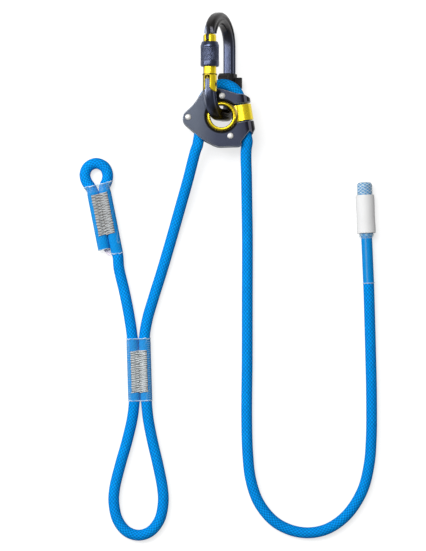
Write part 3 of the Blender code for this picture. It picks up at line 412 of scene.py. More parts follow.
def braid_material(name, colour, tracer, strands):
    """Braid on the piece's own UV map: u goes once round, v runs in turns of the same size.
    Two families of helices a = n(u + 0.87 v) and b = n(u - 0.87 v) cross; where the whole
    parts of a and b add up to an even number, family a lies on top, otherwise family b.
    Painted shade darkens the sheath in the dimples where both numbers are whole, and the
    painted value covered evens it out under film."""
    g = principled(name, colour, 0.72)
    uv = g.node("UVMap", uv_map="UVMap")
    u = g.math("MULTIPLY", g.part(uv, 0), float(strands))
    v = g.math("MULTIPLY", g.part(uv, 1), 0.87 * strands)
    a = g.math("ADD", u, v)
    b = g.math("SUBTRACT", u, v)
    ia, ib = g.math("FLOOR", a), g.math("FLOOR", b)
    fa, fb = g.math("SUBTRACT", a, ia), g.math("SUBTRACT", b, ib)
    over = g.math("FLOORED_MODULO", g.math("ADD", ia, ib), 2.0)
    across, along, strand = (
        g.node("Mix", 0, {0: over, 2: first, 3: second})
        for first, second in ((fa, fb), (fb, fa), (ia, ib))
    )
    hump = g.math("SINE", g.math("MULTIPLY", across, math.pi))
    arch = g.math("SINE", g.math("MULTIPLY", along, math.pi))
    height = g.math("ADD", g.math("POWER", hump, 0.5), g.math("MULTIPLY", arch, 0.55))
    lane = g.math("FLOORED_MODULO", strand, float(strands))
    chosen = g.math("LESS_THAN", lane, 1.5)
    tone = g.node("TexWhiteNoise", 0, {"W": lane}, noise_dimensions="1D")
    body = g.mix(tone, shade(colour, 0.93), shade(colour, 1.06))
    body = g.mix(chosen, body, shade(tracer))
    waves = [g.math("COSINE", g.math("MULTIPLY", turn, 2 * math.pi)) for turn in (a, b)]
    # Painted shade: the dimples where the strands cross turn towards a darker blue
    deep = g.math("MULTIPLY_ADD", g.math("ADD", *waves), 0.25, 0.5)
    open_part = g.math("SUBTRACT", 1.0, g.painted("covered"))
    dimple_shade = g.math("MULTIPLY", g.span(deep, -0.15, 0.95), open_part)
    body = g.mix(dimple_shade, body, shade(colour, 0.40))
    body = g.mix(g.painted("covered"), body, shade(COVERED))
    worn = g.span(g.noise(45.0, 3.0), -0.06, 0.10)
    g.to("Base Color", g.mix(worn, body, shade(colour, 1.12)))
    g.to("Normal", g.bump(height, 0.22 * MM, 0.8))
    g.rough(0.70, 0.88, 300.0)
    g.to("Specular IOR Level", 0.06)
    return g.owner


def eye_distance(g):
    """Distance in plan from the axis of the adjuster's eye."""
    away = g.vector_math("SUBTRACT", g.place(), tuple(SHIFT))
    return g.vector_math("LENGTH", g.vector_math("MULTIPLY", away, (1, 1, 0)))


def banded(g, body, rings, lines):
    """The colour body with bands of painted shade and painted highlight over it, each fading
    out over its outer 45%. A ring lies round the axis of the adjuster's eye: (radius, half
    width, colour). A line lies across an axis: (axis, place, half width, colour)."""
    bands = [(g.part(g.place(), axis), *line) for axis, *line in lines]
    bands += [(eye_distance(g), *ring) for ring in rings]
    for where, middle, half, colour in bands:
        away = g.math("ABSOLUTE", g.math("SUBTRACT", where, middle))
        body = g.mix(g.ramp(away, half, half * 0.55), body, shade(colour))
    return body


def spotted(g, body, spots):
    """The colour body with elliptical spots of painted shade and painted highlight over it,
    each fading out over its outer 40%: (centre in plan, turn, half axes, colour)."""
    for middle, turn, halves, colour in spots:
        inside = g.node(
            "Mapping", vector_type="TEXTURE",
            inputs={0: g.place(), 1: (*middle, 0.0), 2: (0.0, 0.0, turn), 3: (*halves, 1e3)},
        )
        share = g.ramp(g.vector_math("LENGTH", inside), 1.0, 0.6)
        body = g.mix(share, body, shade(colour))
    return body


def anodised_material(name, colour, roughness, grain=0.5, metallic=0.92, fade=None,
                      rings=(), lines=(), spots=()):
    """Bead-blasted, dyed aluminium: cloudy tone, fine grain and a few handling marks. fade
    turns the colour to another along an axis, as painted light and shade: (axis, from, to,
    colour); rings, lines and spots are painted shade and highlights."""
    g = principled(name, colour, roughness, metallic)
    body = g.tones(colour, 0.86, 1.14, 60.0, 4.0)
    if fade:
        axis, low, high, other = fade
        body = g.mix(g.ramp(g.part(g.place(), axis), low, high), body, shade(other))
    body = spotted(g, banded(g, body, rings, lines), spots)
    fleck = g.ramp(g.noise(900.0, 2.0, 0.7), 0.70, 0.78, 0.35)
    g.to("Base Color", g.mix(fleck, body, shade(colour, 1.9)))
    g.rough(roughness - 0.07, roughness + 0.09, 220.0, 3.0)
    g.grain(0.02 * MM, grain, 2600.0)
    return g.owner


def gold_material(name, colour, **bands):
    return anodised_material(name, colour, 0.28, grain=0.35, metallic=0.62, **bands)


def steel_material(name, colour, gloss=0.16, metallic=1.0):
    """Turned or pressed steel with faint swirls; gloss is its lowest roughness."""
    g = principled(name, colour, 0.24, metallic)
    g.to("Base Color", g.tones(colour, 0.9, 1.08, 400.0, 3.0))
    g.rough(gloss, gloss + 0.18, 700.0)
    g.grain(0.01 * MM, 0.5, 1800.0)
    return g.owner


def rubber_material(name, colour):
    """Matt black rubber with a little dust."""
    g = principled(name, colour, 0.55)
    dust = g.span(g.noise(140.0, 4.0), -0.1, 0.3)
    g.to("Base Color", g.mix(dust, shade(colour), shade(DUST)))
    g.to("Specular IOR Level", 0.25)
    g.rough(0.45, 0.65, 500.0)
    g.grain(0.03 * MM, 0.6, 1500.0, 3.0)
    return g.owner


def thread_material(name, colour, tone):
    """Twisted polyester thread: patchy tone, a fine grain of plies and a soft sheen. tone
    makes the colour lighter or darker."""
    colour = shade(colour, tone)[:3]
    g = principled(name, colour, 0.7)
    g.to("Base Color", g.tones(colour, 0.72, 1.25, 180.0, 3.0))
    g.rough(0.6, 0.8, 600.0)
    g.grain(0.08 * MM, 0.7, 2400.0, 2.0, 0.6)
    g.to("Sheen Weight", 0.1)
    return g.owner


def film_material(name, colour):
    """Clear shrink film: thin and glossy, with soft ripples. The painted value haze says
    how milky the film is at each point, and whitens it there."""
    g = principled(name, colour, 0.16)
    haze = g.painted("haze")
    cloud = g.noise(120.0, 4.0, 0.65)
    g.to("Alpha", g.math("MULTIPLY", haze, g.span(cloud, 0.55, 1.45)))
    g.rough(0.12, 0.28, 240.0)
    ripple = g.bump(g.noise(160.0, 3.0), 0.22 * MM, 0.5)
    g.to("Normal", g.bump(g.noise(900.0), 0.04 * MM, 0.4, ripple))
    tint = g.mix(cloud, shade(colour, 0.90), shade(colour, 1.1))
    g.to("Base Color", g.mix(g.span(haze, -0.35, 1.6), tint, shade(MILKY)))
    g.to("Specular IOR Level", 0.38)
    return g.owner


def sleeve_material(name, colour, clear=0.0):
    """Soft white plastic with a cloudy tone and a faint matt grain; clear lets some light
    through a thin strip."""
    g = principled(name, colour, 0.5)
    g.to("Base Color", g.tones(colour, 0.94, 1.04, 70.0, 4.0))
    g.rough(0.42, 0.6, 400.0)
    g.grain(0.03 * MM, 0.5, 700.0, 3.0)
    g.to("Transmission Weight", clear)
    g.to("IOR", 1.3)
    return g.owner


# Meshes


def finish_piece(obj, material, node=None, body="adjuster", angle=60 * DEG):
    """Gives a piece its material, smooth shading and body, and hides the CAD node that it
    stands for.
    """
    obj.data.materials.clear()
    obj.data.materials.append(material)
    obj.data.shade_smooth()
    obj.data.set_sharp_from_angle(angle=angle)
    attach(obj, body)
    if node:
        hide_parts(node)


def linked(name, data):
    """A new object of the data, in the scene."""
    obj = bpy.data.objects.new(name, data)
    bpy.context.scene.collection.objects.link(obj)
    return obj


def mesh_from(name, points, faces, corner_uv=None):
    mesh = bpy.data.meshes.new(name)
    mesh.from_pydata(points.reshape(-1, 3).tolist(), [], faces)
    if corner_uv is not None:
        layer = mesh.uv_layers.new(name="UVMap")
        layer.data.foreach_set("uv", np.asarray(corner_uv, dtype=np.float32).ravel())
    mesh.validate()
    return linked(name, mesh)


def thicken(piece, thickness, offset=-1.0):
    """Gives a surface its wall, inwards or, with offset 0, to both sides."""
    wall = piece.modifiers.new("Wall", "SOLIDIFY")
    wall.thickness = thickness
    wall.offset = offset


def grid(name, points, wrap=True, cap=(True, True), v=None):
    """A surface on a grid of points, rows by columns; wrap closes each row on itself and
    cap closes the first and last row with one face. The UV map's u runs from 0 to 1 along
    a row, and v holds its second value for each row."""
    rows, cols = points.shape[:2]
    span = cols if wrap else cols - 1
    r, c = np.meshgrid(np.arange(rows - 1), np.arange(span), indexing="ij")
    n = (c + 1) % cols
    quads = np.stack([r * cols + c, r * cols + n, (r + 1) * cols + n, (r + 1) * cols + c], -1)
    faces = quads.reshape(-1, 4).tolist()
    u = np.linspace(0.0, 1.0, span + 1)
    v = np.linspace(0.0, 1.0, rows) if v is None else v
    corner_u = np.stack([u[c], u[c + 1], u[c + 1], u[c]], -1)
    corner_v = np.stack([v[r], v[r], v[r + 1], v[r + 1]], -1)
    uv = np.stack([corner_u, corner_v], -1).reshape(-1, 2)
    for wanted, first in ((cap[0], 0), (cap[1], (rows - 1) * cols)):
        if wanted and wrap:
            ring = list(range(first, first + cols))
            faces.append(ring[::-1] if first == 0 else ring)
            uv = np.concatenate([uv, np.zeros((cols, 2))])
    return mesh_from(name, points, faces, uv)


def paint(obj, name, values):
    """Writes one value for each vertex under a name that materials can read."""
    layer = obj.data.attributes.new(name, "FLOAT", "POINT")
    layer.data.foreach_set("value", np.asarray(values, dtype=np.float32).ravel())


def outward(obj, weld=0.0):
    """Turns all faces of a closed piece outwards, with points closer than weld joined."""
    bm = bmesh.new()
    bm.from_mesh(obj.data)
    if weld:
        bmesh.ops.remove_doubles(bm, verts=bm.verts, dist=weld)
    bmesh.ops.recalc_face_normals(bm, faces=bm.faces)
    bm.to_mesh(obj.data)
    bm.free()
    return obj


def refined(node, name, material, body="adjuster", width=0.0, segments=2,
            weld=0.1 * MM):
    """A finished piece from a CAD node, with its flat regions merged and its edges rounded
    over a width. Where they are rounded, weld joins the points closer than itself first,
    so that no short edge spoils the rounding."""
    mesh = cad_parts[node].data.copy()
    mesh.name = name
    bm = bmesh.new()
    bm.from_mesh(mesh)
    bmesh.ops.remove_doubles(bm, verts=bm.verts, dist=weld if width else 0.002 * MM)
    bmesh.ops.dissolve_limit(
        bm, angle_limit=0.6 * DEG, verts=bm.verts, edges=bm.edges, use_dissolve_boundaries=False
    )
    bm.to_mesh(mesh)
    bm.free()
    obj = linked(name, mesh)
    if width:
        bevel = obj.modifiers.new("Edge", "BEVEL")
        bevel.width = width
        bevel.segments = segments
        bevel.limit_method = "ANGLE"
        bevel.angle_limit = 30 * DEG
        bevel.use_clamp_overlap = False
    finish_piece(obj, material, node, body, 35 * DEG)
    return obj


# Rope


def rise(value):
    """A smooth step from 0 to 1."""
    value = np.clip(value, 0.0, 1.0)
    return value * value * (3 - 2 * value)


def bell(value):
    """A bell curve of height 1 round 0."""
    return np.exp(-(value**2))


def smooth(points, per_span=24):
    """A centripetal Catmull-Rom curve through the points, and each point's index in it."""
    p = np.array([2 * points[0] - points[1], *points, 2 * points[-1] - points[-2]])
    t = np.arange(per_span)[:, None] / per_span
    h = (2 * t**3 - 3 * t**2 + 1, t**3 - 2 * t**2 + t, -2 * t**3 + 3 * t**2, t**3 - t**2)
    spans = []
    for a, b, c, d in zip(p, p[1:], p[2:], p[3:]):
        ta, tb, tc = (np.linalg.norm(q) ** 0.5 for q in (b - a, c - b, d - c))
        out = tb * ((b - a) / ta - (c - a) / (ta + tb) + (c - b) / tb)
        into = tb * ((c - b) / tb - (d - b) / (tb + tc) + (d - c) / tc)
        spans.append(h[0] * b + h[1] * out + h[2] * c + h[3] * into)
    marks = [per_span * k for k in range(len(points))]
    return np.concatenate([*spans, p[-2:-1]]), marks


def in_frame(place, turn, x, y, z):
    """The point x, y of a frame that is placed and turned in plan, at height z."""
    cos, sin = math.cos(turn), math.sin(turn)
    return np.array([place[0] + x * cos - y * sin, place[1] + x * sin + y * cos, z])


def metres(points):
    return [np.array(point) * MM for point in points]


def beyond(point, inner):
    """A place 3 mm past a point, straight on from the one before it."""
    lead = point - inner
    return point + lead * (3 * MM / np.linalg.norm(lead))


def seam_run(seam, side, upward):
    """Points of one of the two runs of rope through a seam's film."""
    length, shift = seam.film
    reach = length / 2
    offsets = [-reach - 2 * MM, -reach + 5 * MM, 0.0, reach - 5 * MM, reach + 2 * MM]
    points = [
        in_frame(seam.place, seam.turn, side * RUN_HALF, shift + s, SEAM_Z) for s in offsets
    ]
    return points if upward else points[::-1]


def arc_length(path):
    return np.concatenate(([0.0], np.cumsum(np.linalg.norm(np.diff(path, axis=0), axis=1))))


def even(path, step, start=0.0, end=0.0):
    """The path again, less a length at each end, in equal steps."""
    length = arc_length(path)
    wanted = np.linspace(start, length[-1] - end, max(2, int(length[-1] / step)))
    return np.stack([np.interp(wanted, length, path[:, k]) for k in range(3)], -1)


def rope_paths(step):
    """The standing part, the part held in the adjuster and the tail, in world metres."""
    route = [in_frame(EYE.place, EYE.turn, -RUN_HALF, CUT_END_SHIFT, SEAM_Z)]
    route += seam_run(EYE, -1, True)[2:]
    route += metres(STITCHED_EYE)
    route += seam_run(EYE, 1, False)
    route += metres(FIXED_ARM)
    route += seam_run(MID, -1, False)
    route += metres(HARNESS_LOOP)
    route += seam_run(MID, 1, True)
    route += metres(ADJUSTABLE_ARM)
    held = [in_frame((0, 0), ADJUSTER_TURN, x * MM, y * MM, ADJUSTER_Z) for x, y in IN_ADJUSTER]
    enter = len(route) + 1
    leave = enter + len(held) - 1
    route += [beyond(held[0], held[1]), *held, beyond(held[-1], held[-2])]
    route += metres(TAIL)
    route += [
        in_frame(TAIL_TIP, TAIL_TURN, 0.0, -y, TAIL_Z)
        for y in (SHRINK_LENGTH + 3 * MM, SHRINK_LENGTH - 5 * MM, STOPPER_LENGTH + STOPPER_CONE)
    ]
    curve, marks = smooth(route)
    curve = curve + SHIFT
    gap = 0.01 * MM
    return (
        even(curve[: marks[enter] + 1], step, 0.0, gap),
        even(curve[marks[enter] : marks[leave] + 1], step, gap, gap),
        even(curve[marks[leave] :], step, gap, 0.3 * MM),
    )


def pressed(path):
    """The path with its two runs in each seam drawn together, and for each point how much
    it is drawn (0 free, 1 in the middle of the film)."""
    path = path.copy()
    amount = np.zeros(len(path))
    for seam in (MID, EYE):
        length, shift = seam.film
        centre, side, along = seam_axes(seam)
        x, y = (path - centre) @ side, (path - centre) @ along - shift
        edge = rise((length / 2 + 2 * MM - np.abs(y)) / (4 * MM))
        here = np.where(np.abs(x) < 9 * MM, edge, 0.0)
        path -= (np.sign(x) * here * PRESS)[:, None] * side
        amount = np.maximum(amount, here)
    return path, amount


def unit(vectors):
    """Each vector divided by its length."""
    return vectors / (np.linalg.norm(vectors, axis=1)[:, None] + 1e-12)


def circle(count):
    """Angles of equal steps round a circle."""
    return np.linspace(0, 2 * math.pi, count, endpoint=False)


def tube_grid(path, radius, sides, flat=0.0):
    """A round tube: centre + radius (side cos t + up sin t), where side is level and square
    to the path, and up is square to both. radius may be one value or one for each row.
    flat makes it 10% wider and 6% lower where it is 1."""
    along = unit(np.gradient(path, axis=0))
    side = unit(np.cross(along, UP))
    up = np.cross(side, along)
    t = circle(sides)
    flat = np.broadcast_to(flat, len(path))[:, None, None]
    ring = side[:, None] * np.cos(t)[None, :, None] * (1 + 0.10 * flat)
    ring = ring + up[:, None] * np.sin(t)[None, :, None] * (1 - 0.06 * flat)
    radius = np.broadcast_to(radius, len(path))
    return path[:, None] + ring * radius[:, None, None]


def braided(name, path, radius, sides, material, node, before=0.0):
    """A length of rope; before is the length of rope in front of it, so that the braid runs
    on from one piece to the next. covered is painted where film lies over it."""
    path, flat = pressed(path)
    points = tube_grid(path, radius, sides, flat=flat)
    points[..., 2] = np.maximum(points[..., 2], 0.0)
    turns = (before + arc_length(path)) / (2 * math.pi * np.max(radius))
    piece = outward(grid(name, points, v=turns))
    tip, up = tail_axes()
    tail = (path - tip) @ up > -SHRINK_LENGTH
    covered = np.maximum(flat, tail & (path[:, 0] > TAIL_TIP[0] / 2))
    paint(piece, "covered", np.repeat(covered, sides))
    finish_piece(piece, material, node)


class LANYARD_OT_rope(bpy.types.Operator):
    """Braided rope: standing part, part in the adjuster, tail and its thick end"""

    bl_idname = "lanyard.rope"
    bl_label = "Rope"

    def execute(self, context):
        rope = context.scene.lanyard_rope
        braid = braid_material("blue braid", rope.colour, rope.tracer, rope.strands)
        names = ("standing_braid", "held_braid", "tail_braid")
        nodes = ("rope_standing", "rope_in_adjuster", "rope_tail")
        before = 0.0
        for name, node, path in zip(names, nodes, rope_paths(rope.step)):
            braided(name, path, rope.diameter / 2, rope.sides, braid, node, before)
            before += float(arc_length(pressed(path)[0])[-1])
        first, last = STOPPER_PROFILE[0][0], STOPPER_PROFILE[-1][0]
        stop = tail_points(-first * MM, -last * MM, 0.8 * MM)
        grown = np.interp(np.linspace(first, last, len(stop)), *zip(*STOPPER_PROFILE))
        braided("stop_braid", stop, grown * MM, rope.sides, braid, "rope_end_stop")
        return {"FINISHED"}


def tail_axes():
    """The tail's tip and the direction along the tail towards it."""
    tip = in_frame(TAIL_TIP, TAIL_TURN, 0.0, 0.0, TAIL_Z) + SHIFT
    return tip, np.array([-math.sin(TAIL_TURN), math.cos(TAIL_TURN), 0.0])


def tail_points(first, last, step):
    """Points on the tail's axis, by their place along it from the tip, tip side positive."""
    count = max(2, int(abs(last - first) / step))
    where = np.linspace(first, last, count)
    tip, up = tail_axes()
    return tip + where[:, None] * up


# Seams


def seam_axes(seam):
    """Centre, level side and long direction of a seam, in world metres."""
    centre = np.array([*seam.place, SEAM_Z]) + SHIFT
    cos, sin = math.cos(seam.turn), math.sin(seam.turn)
    return centre, np.array([cos, sin, 0.0]), np.array([-sin, cos, 0.0])


def on_seam(seam, x, y, z):
    """Places arrays of seam x, y, z (side, along, up) in the world."""
    centre, side, along = seam_axes(seam)
    return centre + x[..., None] * side + y[..., None] * along + z[..., None] * UP


def rope_pair_top(x, cover):
    """Height over two runs of rope side by side: the higher of two circles at +-RUN_HALF,
    filled in between by a shallow valley."""
    radius = ROPE_DIAMETER / 2 + cover
    bow = np.sqrt(np.clip(radius**2 - (np.abs(x) - RUN_HALF) ** 2, 0.0, None))
    return np.maximum(bow, np.where(np.abs(x) < RUN_HALF, radius * 0.80, 0.0))


def stitching(key, seam, material, thread, step):
    """Two zigzag rows side by side, each above and below the ropes: one thread whose
    x goes to and fro over the row while y goes steadily along, with small irregular steps
    at its turns, as a tube of eight sides laid over the two ropes' section."""
    length, shift = seam.stitch
    rng = np.random.default_rng(seam.seed)
    per_pass = 10
    runs = []
    for left, right, share, way in STITCH_ROWS:
        turns = 2 * int(length / (step * share))
        ends = np.where(np.arange(turns) % 2 == 0, left, right) * MM
        ends = ends + rng.uniform(-0.45, 0.45, turns) * MM
        places = np.linspace(-length / 2, length / 2, turns)
        places = places + rng.uniform(-0.32, 0.32, turns) * MM
        where = np.linspace(0.0, turns - 1, (turns - 1) * per_pass)
        x = np.interp(where, np.arange(turns), ends)
        y = np.interp(where, np.arange(turns), places) + shift
        runs.append((x[::way], y[::way]))
    x, y = np.concatenate(runs, axis=1)
    lift = rope_pair_top(x, 0.12 * MM) + thread
    points = np.concatenate([on_seam(seam, x, y, lift), on_seam(seam, x, y, -lift)[::-1]])
    piece = outward(grid(f"{key}_thread", tube_grid(points, thread, 8)))
    finish_piece(piece, material, f"{key}_stitching", angle=80 * DEG)


def shaded_thread_bed(key, seam, material):
    """Thread under the passes, with painted shade: a dark closed band over both runs of rope.
    """
    length, shift = seam.stitch
    half = np.linspace(-1.0, 1.0, 33) * BED_HALF_WIDTH
    top = rope_pair_top(half, 0.16 * MM)
    y, x = np.meshgrid(
        np.linspace(-length / 2, length / 2, 24) + shift, np.concatenate([half, half[::-1]]),
        indexing="ij",
    )
    z = np.concatenate([top, -top[::-1]]) + 0 * y
    piece = outward(grid(f"{key}_thread_bed", on_seam(seam, x, y, z)))
    finish_piece(piece, material)


def ragged_edge(rng, a):
    """The sum of sixteen small waves round the tube, each of random height and start."""
    return sum(
        rng.uniform(-0.28, 0.28) * np.sin(k * a + rng.uniform(0, 6.3)) for k in range(1, 17)
    )


def creases(rng, a, y):
    """The size of a sum of six slanted waves; a crease lies where it is near 0."""
    total = 0.0
    for _ in range(6):
        k, m = rng.uniform(0.1, 0.45) / MM, rng.integers(1, 4)
        total = total + rng.uniform(0.3, 1.0) * np.sin(y * k + m * a + rng.uniform(0, 6.3))
    return np.abs(total)


def film_place(seam, rng, a, v, x0):
    """Place across and along the seam of each point of a film, with its ends ragged, its
    left part stepped and its upper end opened."""
    length, shift = seam.film
    ragged = ragged_edge(rng, a)
    low = -length / 2 + 0.4 * MM * ragged
    high = length / 2 + 0.5 * MM * ragged[:, ::-1]
    if seam.step:
        edge, cut = seam.step
        low = low + cut * rise((edge - x0) / (1.6 * MM) + 0.5)
    if not seam.flare:
        y = low + (high - low) * v + shift
        return x0 + 0 * y, y
    reach, aside, wider = seam.flare
    high = high + reach + 0.5 * MM * x0 / (11 * MM)
    y = low + (high - low) * v + shift
    open_up = np.clip((y - shift - length / 2) / reach, 0.0, None)
    return x0 * (1 + open_up * wider / FILM_HALF_WIDTH) + open_up * aside, y


def film_haze(seam, a, v, x0, y, ripple, crease, margin, broken):
    """How milky a film is: high on the end lines, on the ripples' crests near the margins,
    in the creases and, where the film flares, in the folds of its upper end."""
    length, shift = seam.film
    ends = (bell(v * length / (0.66 * MM)) + bell((1 - v) * length / (0.66 * MM))) * broken
    thin = bell(crease / 0.10)
    dash = margin * rise((10.8 * MM - np.abs(x0)) / (1.2 * MM)) * ripple**4
    haze = seam.haze + seam.dashes * dash + 0.05 * thin * (0.3 + margin)
    haze = haze + 0.13 * rise(x0 / (3 * MM) - 1.6) * thin
    if seam.flare:
        folds = np.sin(14 * a + 3 * np.sin(y / MM * 0.9))
        folds = folds * np.sin(y / MM * 2.1 + 2 * np.cos(a))
        band = rise((y - shift - length / 2 + 2.5 * MM) / (3 * MM))
        haze = haze + band * (0.03 + 0.16 * np.clip(folds, 0.0, None))
    return np.clip(haze + 0.85 * ends, 0.0, 0.9)


def seam_film(key, seam, material):
    """Shrunk tube: a rounded oblong section x = W cos^0.52 a, z = H sin^0.62 a, drawn in
    between the two runs and deeper beside the stitching, with fine cross ripples at its
    margins, open at both ends; the wall comes from Solidify."""
    rng = np.random.default_rng(seam.seed)
    v = np.linspace(0.0, 1.0, 220)[:, None]
    a = circle(160)[None]
    c, s = np.cos(a), np.sin(a)
    x0 = np.sign(c) * np.abs(c) ** 0.52 * FILM_HALF_WIDTH
    z0 = np.sign(s) * np.abs(s) ** 0.62 * FILM_HALF_HEIGHT
    x, y = film_place(seam, rng, a, v, x0)
    stitched, middle = seam.stitch
    beside = rise((np.abs(y - middle) - stitched / 2) / (4 * MM))
    dip = (0.35 + 1.1 * beside) * MM * bell(x / (2.4 * MM))
    margin = rise((np.abs(x0) - 7.0 * MM) / (2.5 * MM))
    phase = y / MM * 2 * math.pi / 1.95 + 1.2 * np.sin(y / MM * 0.31) + 2.0 * np.sin(a)
    ripple = 0.5 + 0.5 * np.sin(phase)
    crease = creases(rng, a, y)
    z = z0 + np.sign(z0) * (0.05 * MM * crease - dip)
    x = x + np.sign(x0) * margin * (ripple - 0.5) * 0.07 * MM
    points = on_seam(seam, x, y, z)
    points[..., 2] = np.maximum(points[..., 2], 0.02 * MM)
    broken = 0.62 + 0.38 * np.sin(5 * a + rng.uniform(0, 6.3)) * np.sin(11 * a)
    piece = outward(grid(f"{key}_film", points, cap=(False, False)))
    paint(piece, "haze", film_haze(seam, a, v, x0, y, ripple, crease, margin, broken))
    thicken(piece, FILM_WALL)
    finish_piece(piece, material, f"{key}_seam_film")


def tab_strip(name, seam, material, node):
    """Paper strip between a left and a right edge under the ropes: point = left (1 - u) +
    right u; past the cut end of the rope it curls up, by a smooth step of its place."""
    v = np.linspace(0.0, 2.0, 25)
    left, right = (
        np.stack([np.interp(v, (0, 1, 2), values) for values in zip(*edge)], -1) * MM
        for edge in (TAB_LEFT, TAB_RIGHT)
    )
    u = np.linspace(0.0, 1.0, 13)[None, :, None]
    flat = left[:, None] * (1 - u) + right[:, None] * u
    start, reach = TAB_CURL
    lift = TAB_LIFT * rise((start - flat[..., 1]) / reach)
    piece = grid(name, on_seam(seam, flat[..., 0], flat[..., 1], lift + TAB_LEVEL), wrap=False)
    thicken(piece, TAB_WALL, 0.0)
    finish_piece(piece, material, node)


class LANYARD_OT_seams(bpy.types.Operator):
    """Thread, shrink film and paper strip of the two sewn seams"""

    bl_idname = "lanyard.seams"
    bl_label = "Seams"

    def execute(self, context):
        seams = context.scene.lanyard_seams
        film = film_material("seam film", seams.film)
        paper = sleeve_material("white tab", seams.tab, clear=0.5)
        radius, step = seams.thread_radius, seams.thread_step
        for key, seam in (("mid", MID), ("eye", EYE)):
            thread = thread_material(f"{key} seam's thread", seams.thread, seam.thread_tone)
            stitching(key, seam, thread, radius * seam.thickness, step * seam.pitch)
            name = f"{key} sewing's shaded underside"
            shaded_thread_bed(key, seam, thread_material(name, seams.under, seam.bed_shade_tone))
            seam_film(key, seam, film)
        tab_strip("eye_tab", EYE, paper, "eye_label")
        return {"FINISHED"}


# Tail end


def tube_haze(t, deep):
    """How milky the tail's tube is, by angle t and depth in mm: a woven print over the cap,
    speckles where it flares under the sleeve, a painted highlight line along it and a white
    lower end."""
    cap = 1 - rise((deep - 11.0) / 2.0)
    weave = np.maximum(np.cos(10 * t + deep * 2.3), np.cos(10 * t - deep * 2.3)) ** 5
    speckle = 0.5 + 0.5 * np.sin(9 * t + 2 * np.sin(deep * 2.1)) * np.sin(deep * 3.3)
    # Painted highlight: a whiter line along the tube at angle 1.3, past 49 mm from the tip
    line = bell((t - 1.3) / 0.11) * (deep > 49) * 0.15
    haze = 0.005 + cap * (0.14 + 0.50 * np.clip(weave, 0, 1))
    haze = haze + bell((deep - 47.5) / 2.2) * 0.45 * speckle
    return np.clip(haze + 0.7 * bell((deep - deep[-1]) / 0.5) + line, 0.0, 0.9)


def tail_tube(material):
    """Shrunk tube over the tail's thick end: its profile turned about the tail's axis."""
    axis = tail_points(0.0, -SHRINK_LENGTH, 0.4 * MM)
    depth = np.linspace(0.0, SHRINK_LENGTH / MM, len(axis))
    radius = np.interp(depth, *zip(*TUBE_PROFILE))
    radius = radius + 0.05 * np.sin(depth * 1.7) * bell((depth - 53) / 6)
    tube = outward(grid("tail_film", tube_grid(axis, radius * MM, 64), cap=(True, False)))
    paint(tube, "haze", tube_haze(circle(64)[None], depth[:, None]))
    thicken(tube, TUBE_WALL)
    finish_piece(tube, material, "tail_shrink_tube")


def tail_label(material):
    """Printed sleeve: an open oval tube, its radius swelling by 1% in slow waves."""
    axis = tail_points(*LABEL_ENDS, 0.9 * MM)
    depth = np.linspace(0, 1, len(axis))
    swell = 1 + 0.012 * np.sin(depth * 9.0)[:, None] * np.cos(2 * circle(64))[None]
    points = (tube_grid(axis, 1.0, 64) - axis[:, None]) * LABEL_HALVES * swell[..., None]
    sleeve = outward(grid("tail_sleeve", axis[:, None] + points, cap=(False, False)))
    thicken(sleeve, LABEL_WALL)
    finish_piece(sleeve, material, "tail_sleeve_label")


class LANYARD_OT_tail_end(bpy.types.Operator):
    """Clear tube and white sleeve on the tail's thick end"""

    bl_idname = "lanyard.tail_end"
    bl_label = "Tail end"

    def execute(self, context):
        seams = context.scene.lanyard_seams
        tail_tube(film_material("tail film", seams.film))
        tail_label(sleeve_material("white sleeve", seams.label))
        return {"FINISHED"}


# Metal


def fold_light_band(x, half, colour):
    """A painted band along the plate's fold, dark for shade and light for a highlight: a spot
    so long that it is a band, x from the eye's axis.
    """
    place = in_frame(SHIFT, ADJUSTER_TURN, x, 0.0, 0.0)[:2]
    return place, ADJUSTER_TURN, (half, FOLD_HALF_LENGTH), colour


class LANYARD_OT_adjuster(bpy.types.Operator):
    """Folded shell, eye, rivets and spacers of the rope adjuster"""

    bl_idname = "lanyard.adjuster"
    bl_label = "Adjuster"

    def execute(self, context):
        metal = context.scene.lanyard_metal
        # Painted reflection bands along the plate's fold
        folds = [fold_light_band(*band) for band in FOLD_LIGHT_BANDS]
        # Painted shade on the plate: a darker right side, a black band round the eye and a
        # shadow beside the gate
        dark = anodised_material(
            "dark anodised plate", metal.dark, 0.34, fade=(*PLATE_SHADE_FADE, metal.deep),
            rings=PLATE_EYE_SHADE, spots=(*folds, GATE_SHADOW_SPOT),
        )
        # Painted shade on the eye's lip and inner wall
        gold = gold_material("gold anodised eye", metal.gold, rings=EYE_SHADE_RINGS)
        steel = steel_material("rivet steel", metal.steel, gloss=0.42, metallic=0.55)
        shell = refined(
            "adjuster_shell", "shell_plate", dark, width=metal.edge, segments=3,
            weld=0.16 * MM,
        )
        # Painted highlight on the plate's rounded edges, with the painted shade round the eye
        edge_highlight = anodised_material("polished edge", metal.edge_highlight, 0.30, rings=PLATE_EYE_SHADE)
        shell.data.materials.append(edge_highlight)
        shell.modifiers["Edge"].material = 1
        refined("adjuster_eye", "eye_ring", gold, "adjuster_eye", metal.edge * 0.45)
        for place in ("top", "left", "low"):
            refined(f"rivet_{place}", f"rivet_{place}_dome", steel)
            refined(f"spacer_{place}", f"spacer_{place}_tube", steel)
        return {"FINISHED"}


def on_gate(x, y, z):
    """Places arrays given beside the gate's axis: x away from the spine in the connector's
    plane, y along the connector, z square to that plane."""
    cos, sin = math.cos(math.pi + PLANE_TILT), math.sin(math.pi + PLANE_TILT)
    out, across = np.array([cos, 0.0, -sin]), np.array([sin, 0.0, cos])
    up = np.array([0.0, 1.0, 0.0])
    base = SPINE + BODY_WIDTH * out
    return base + x[..., None] * out + y[..., None] * up + z[..., None] * across


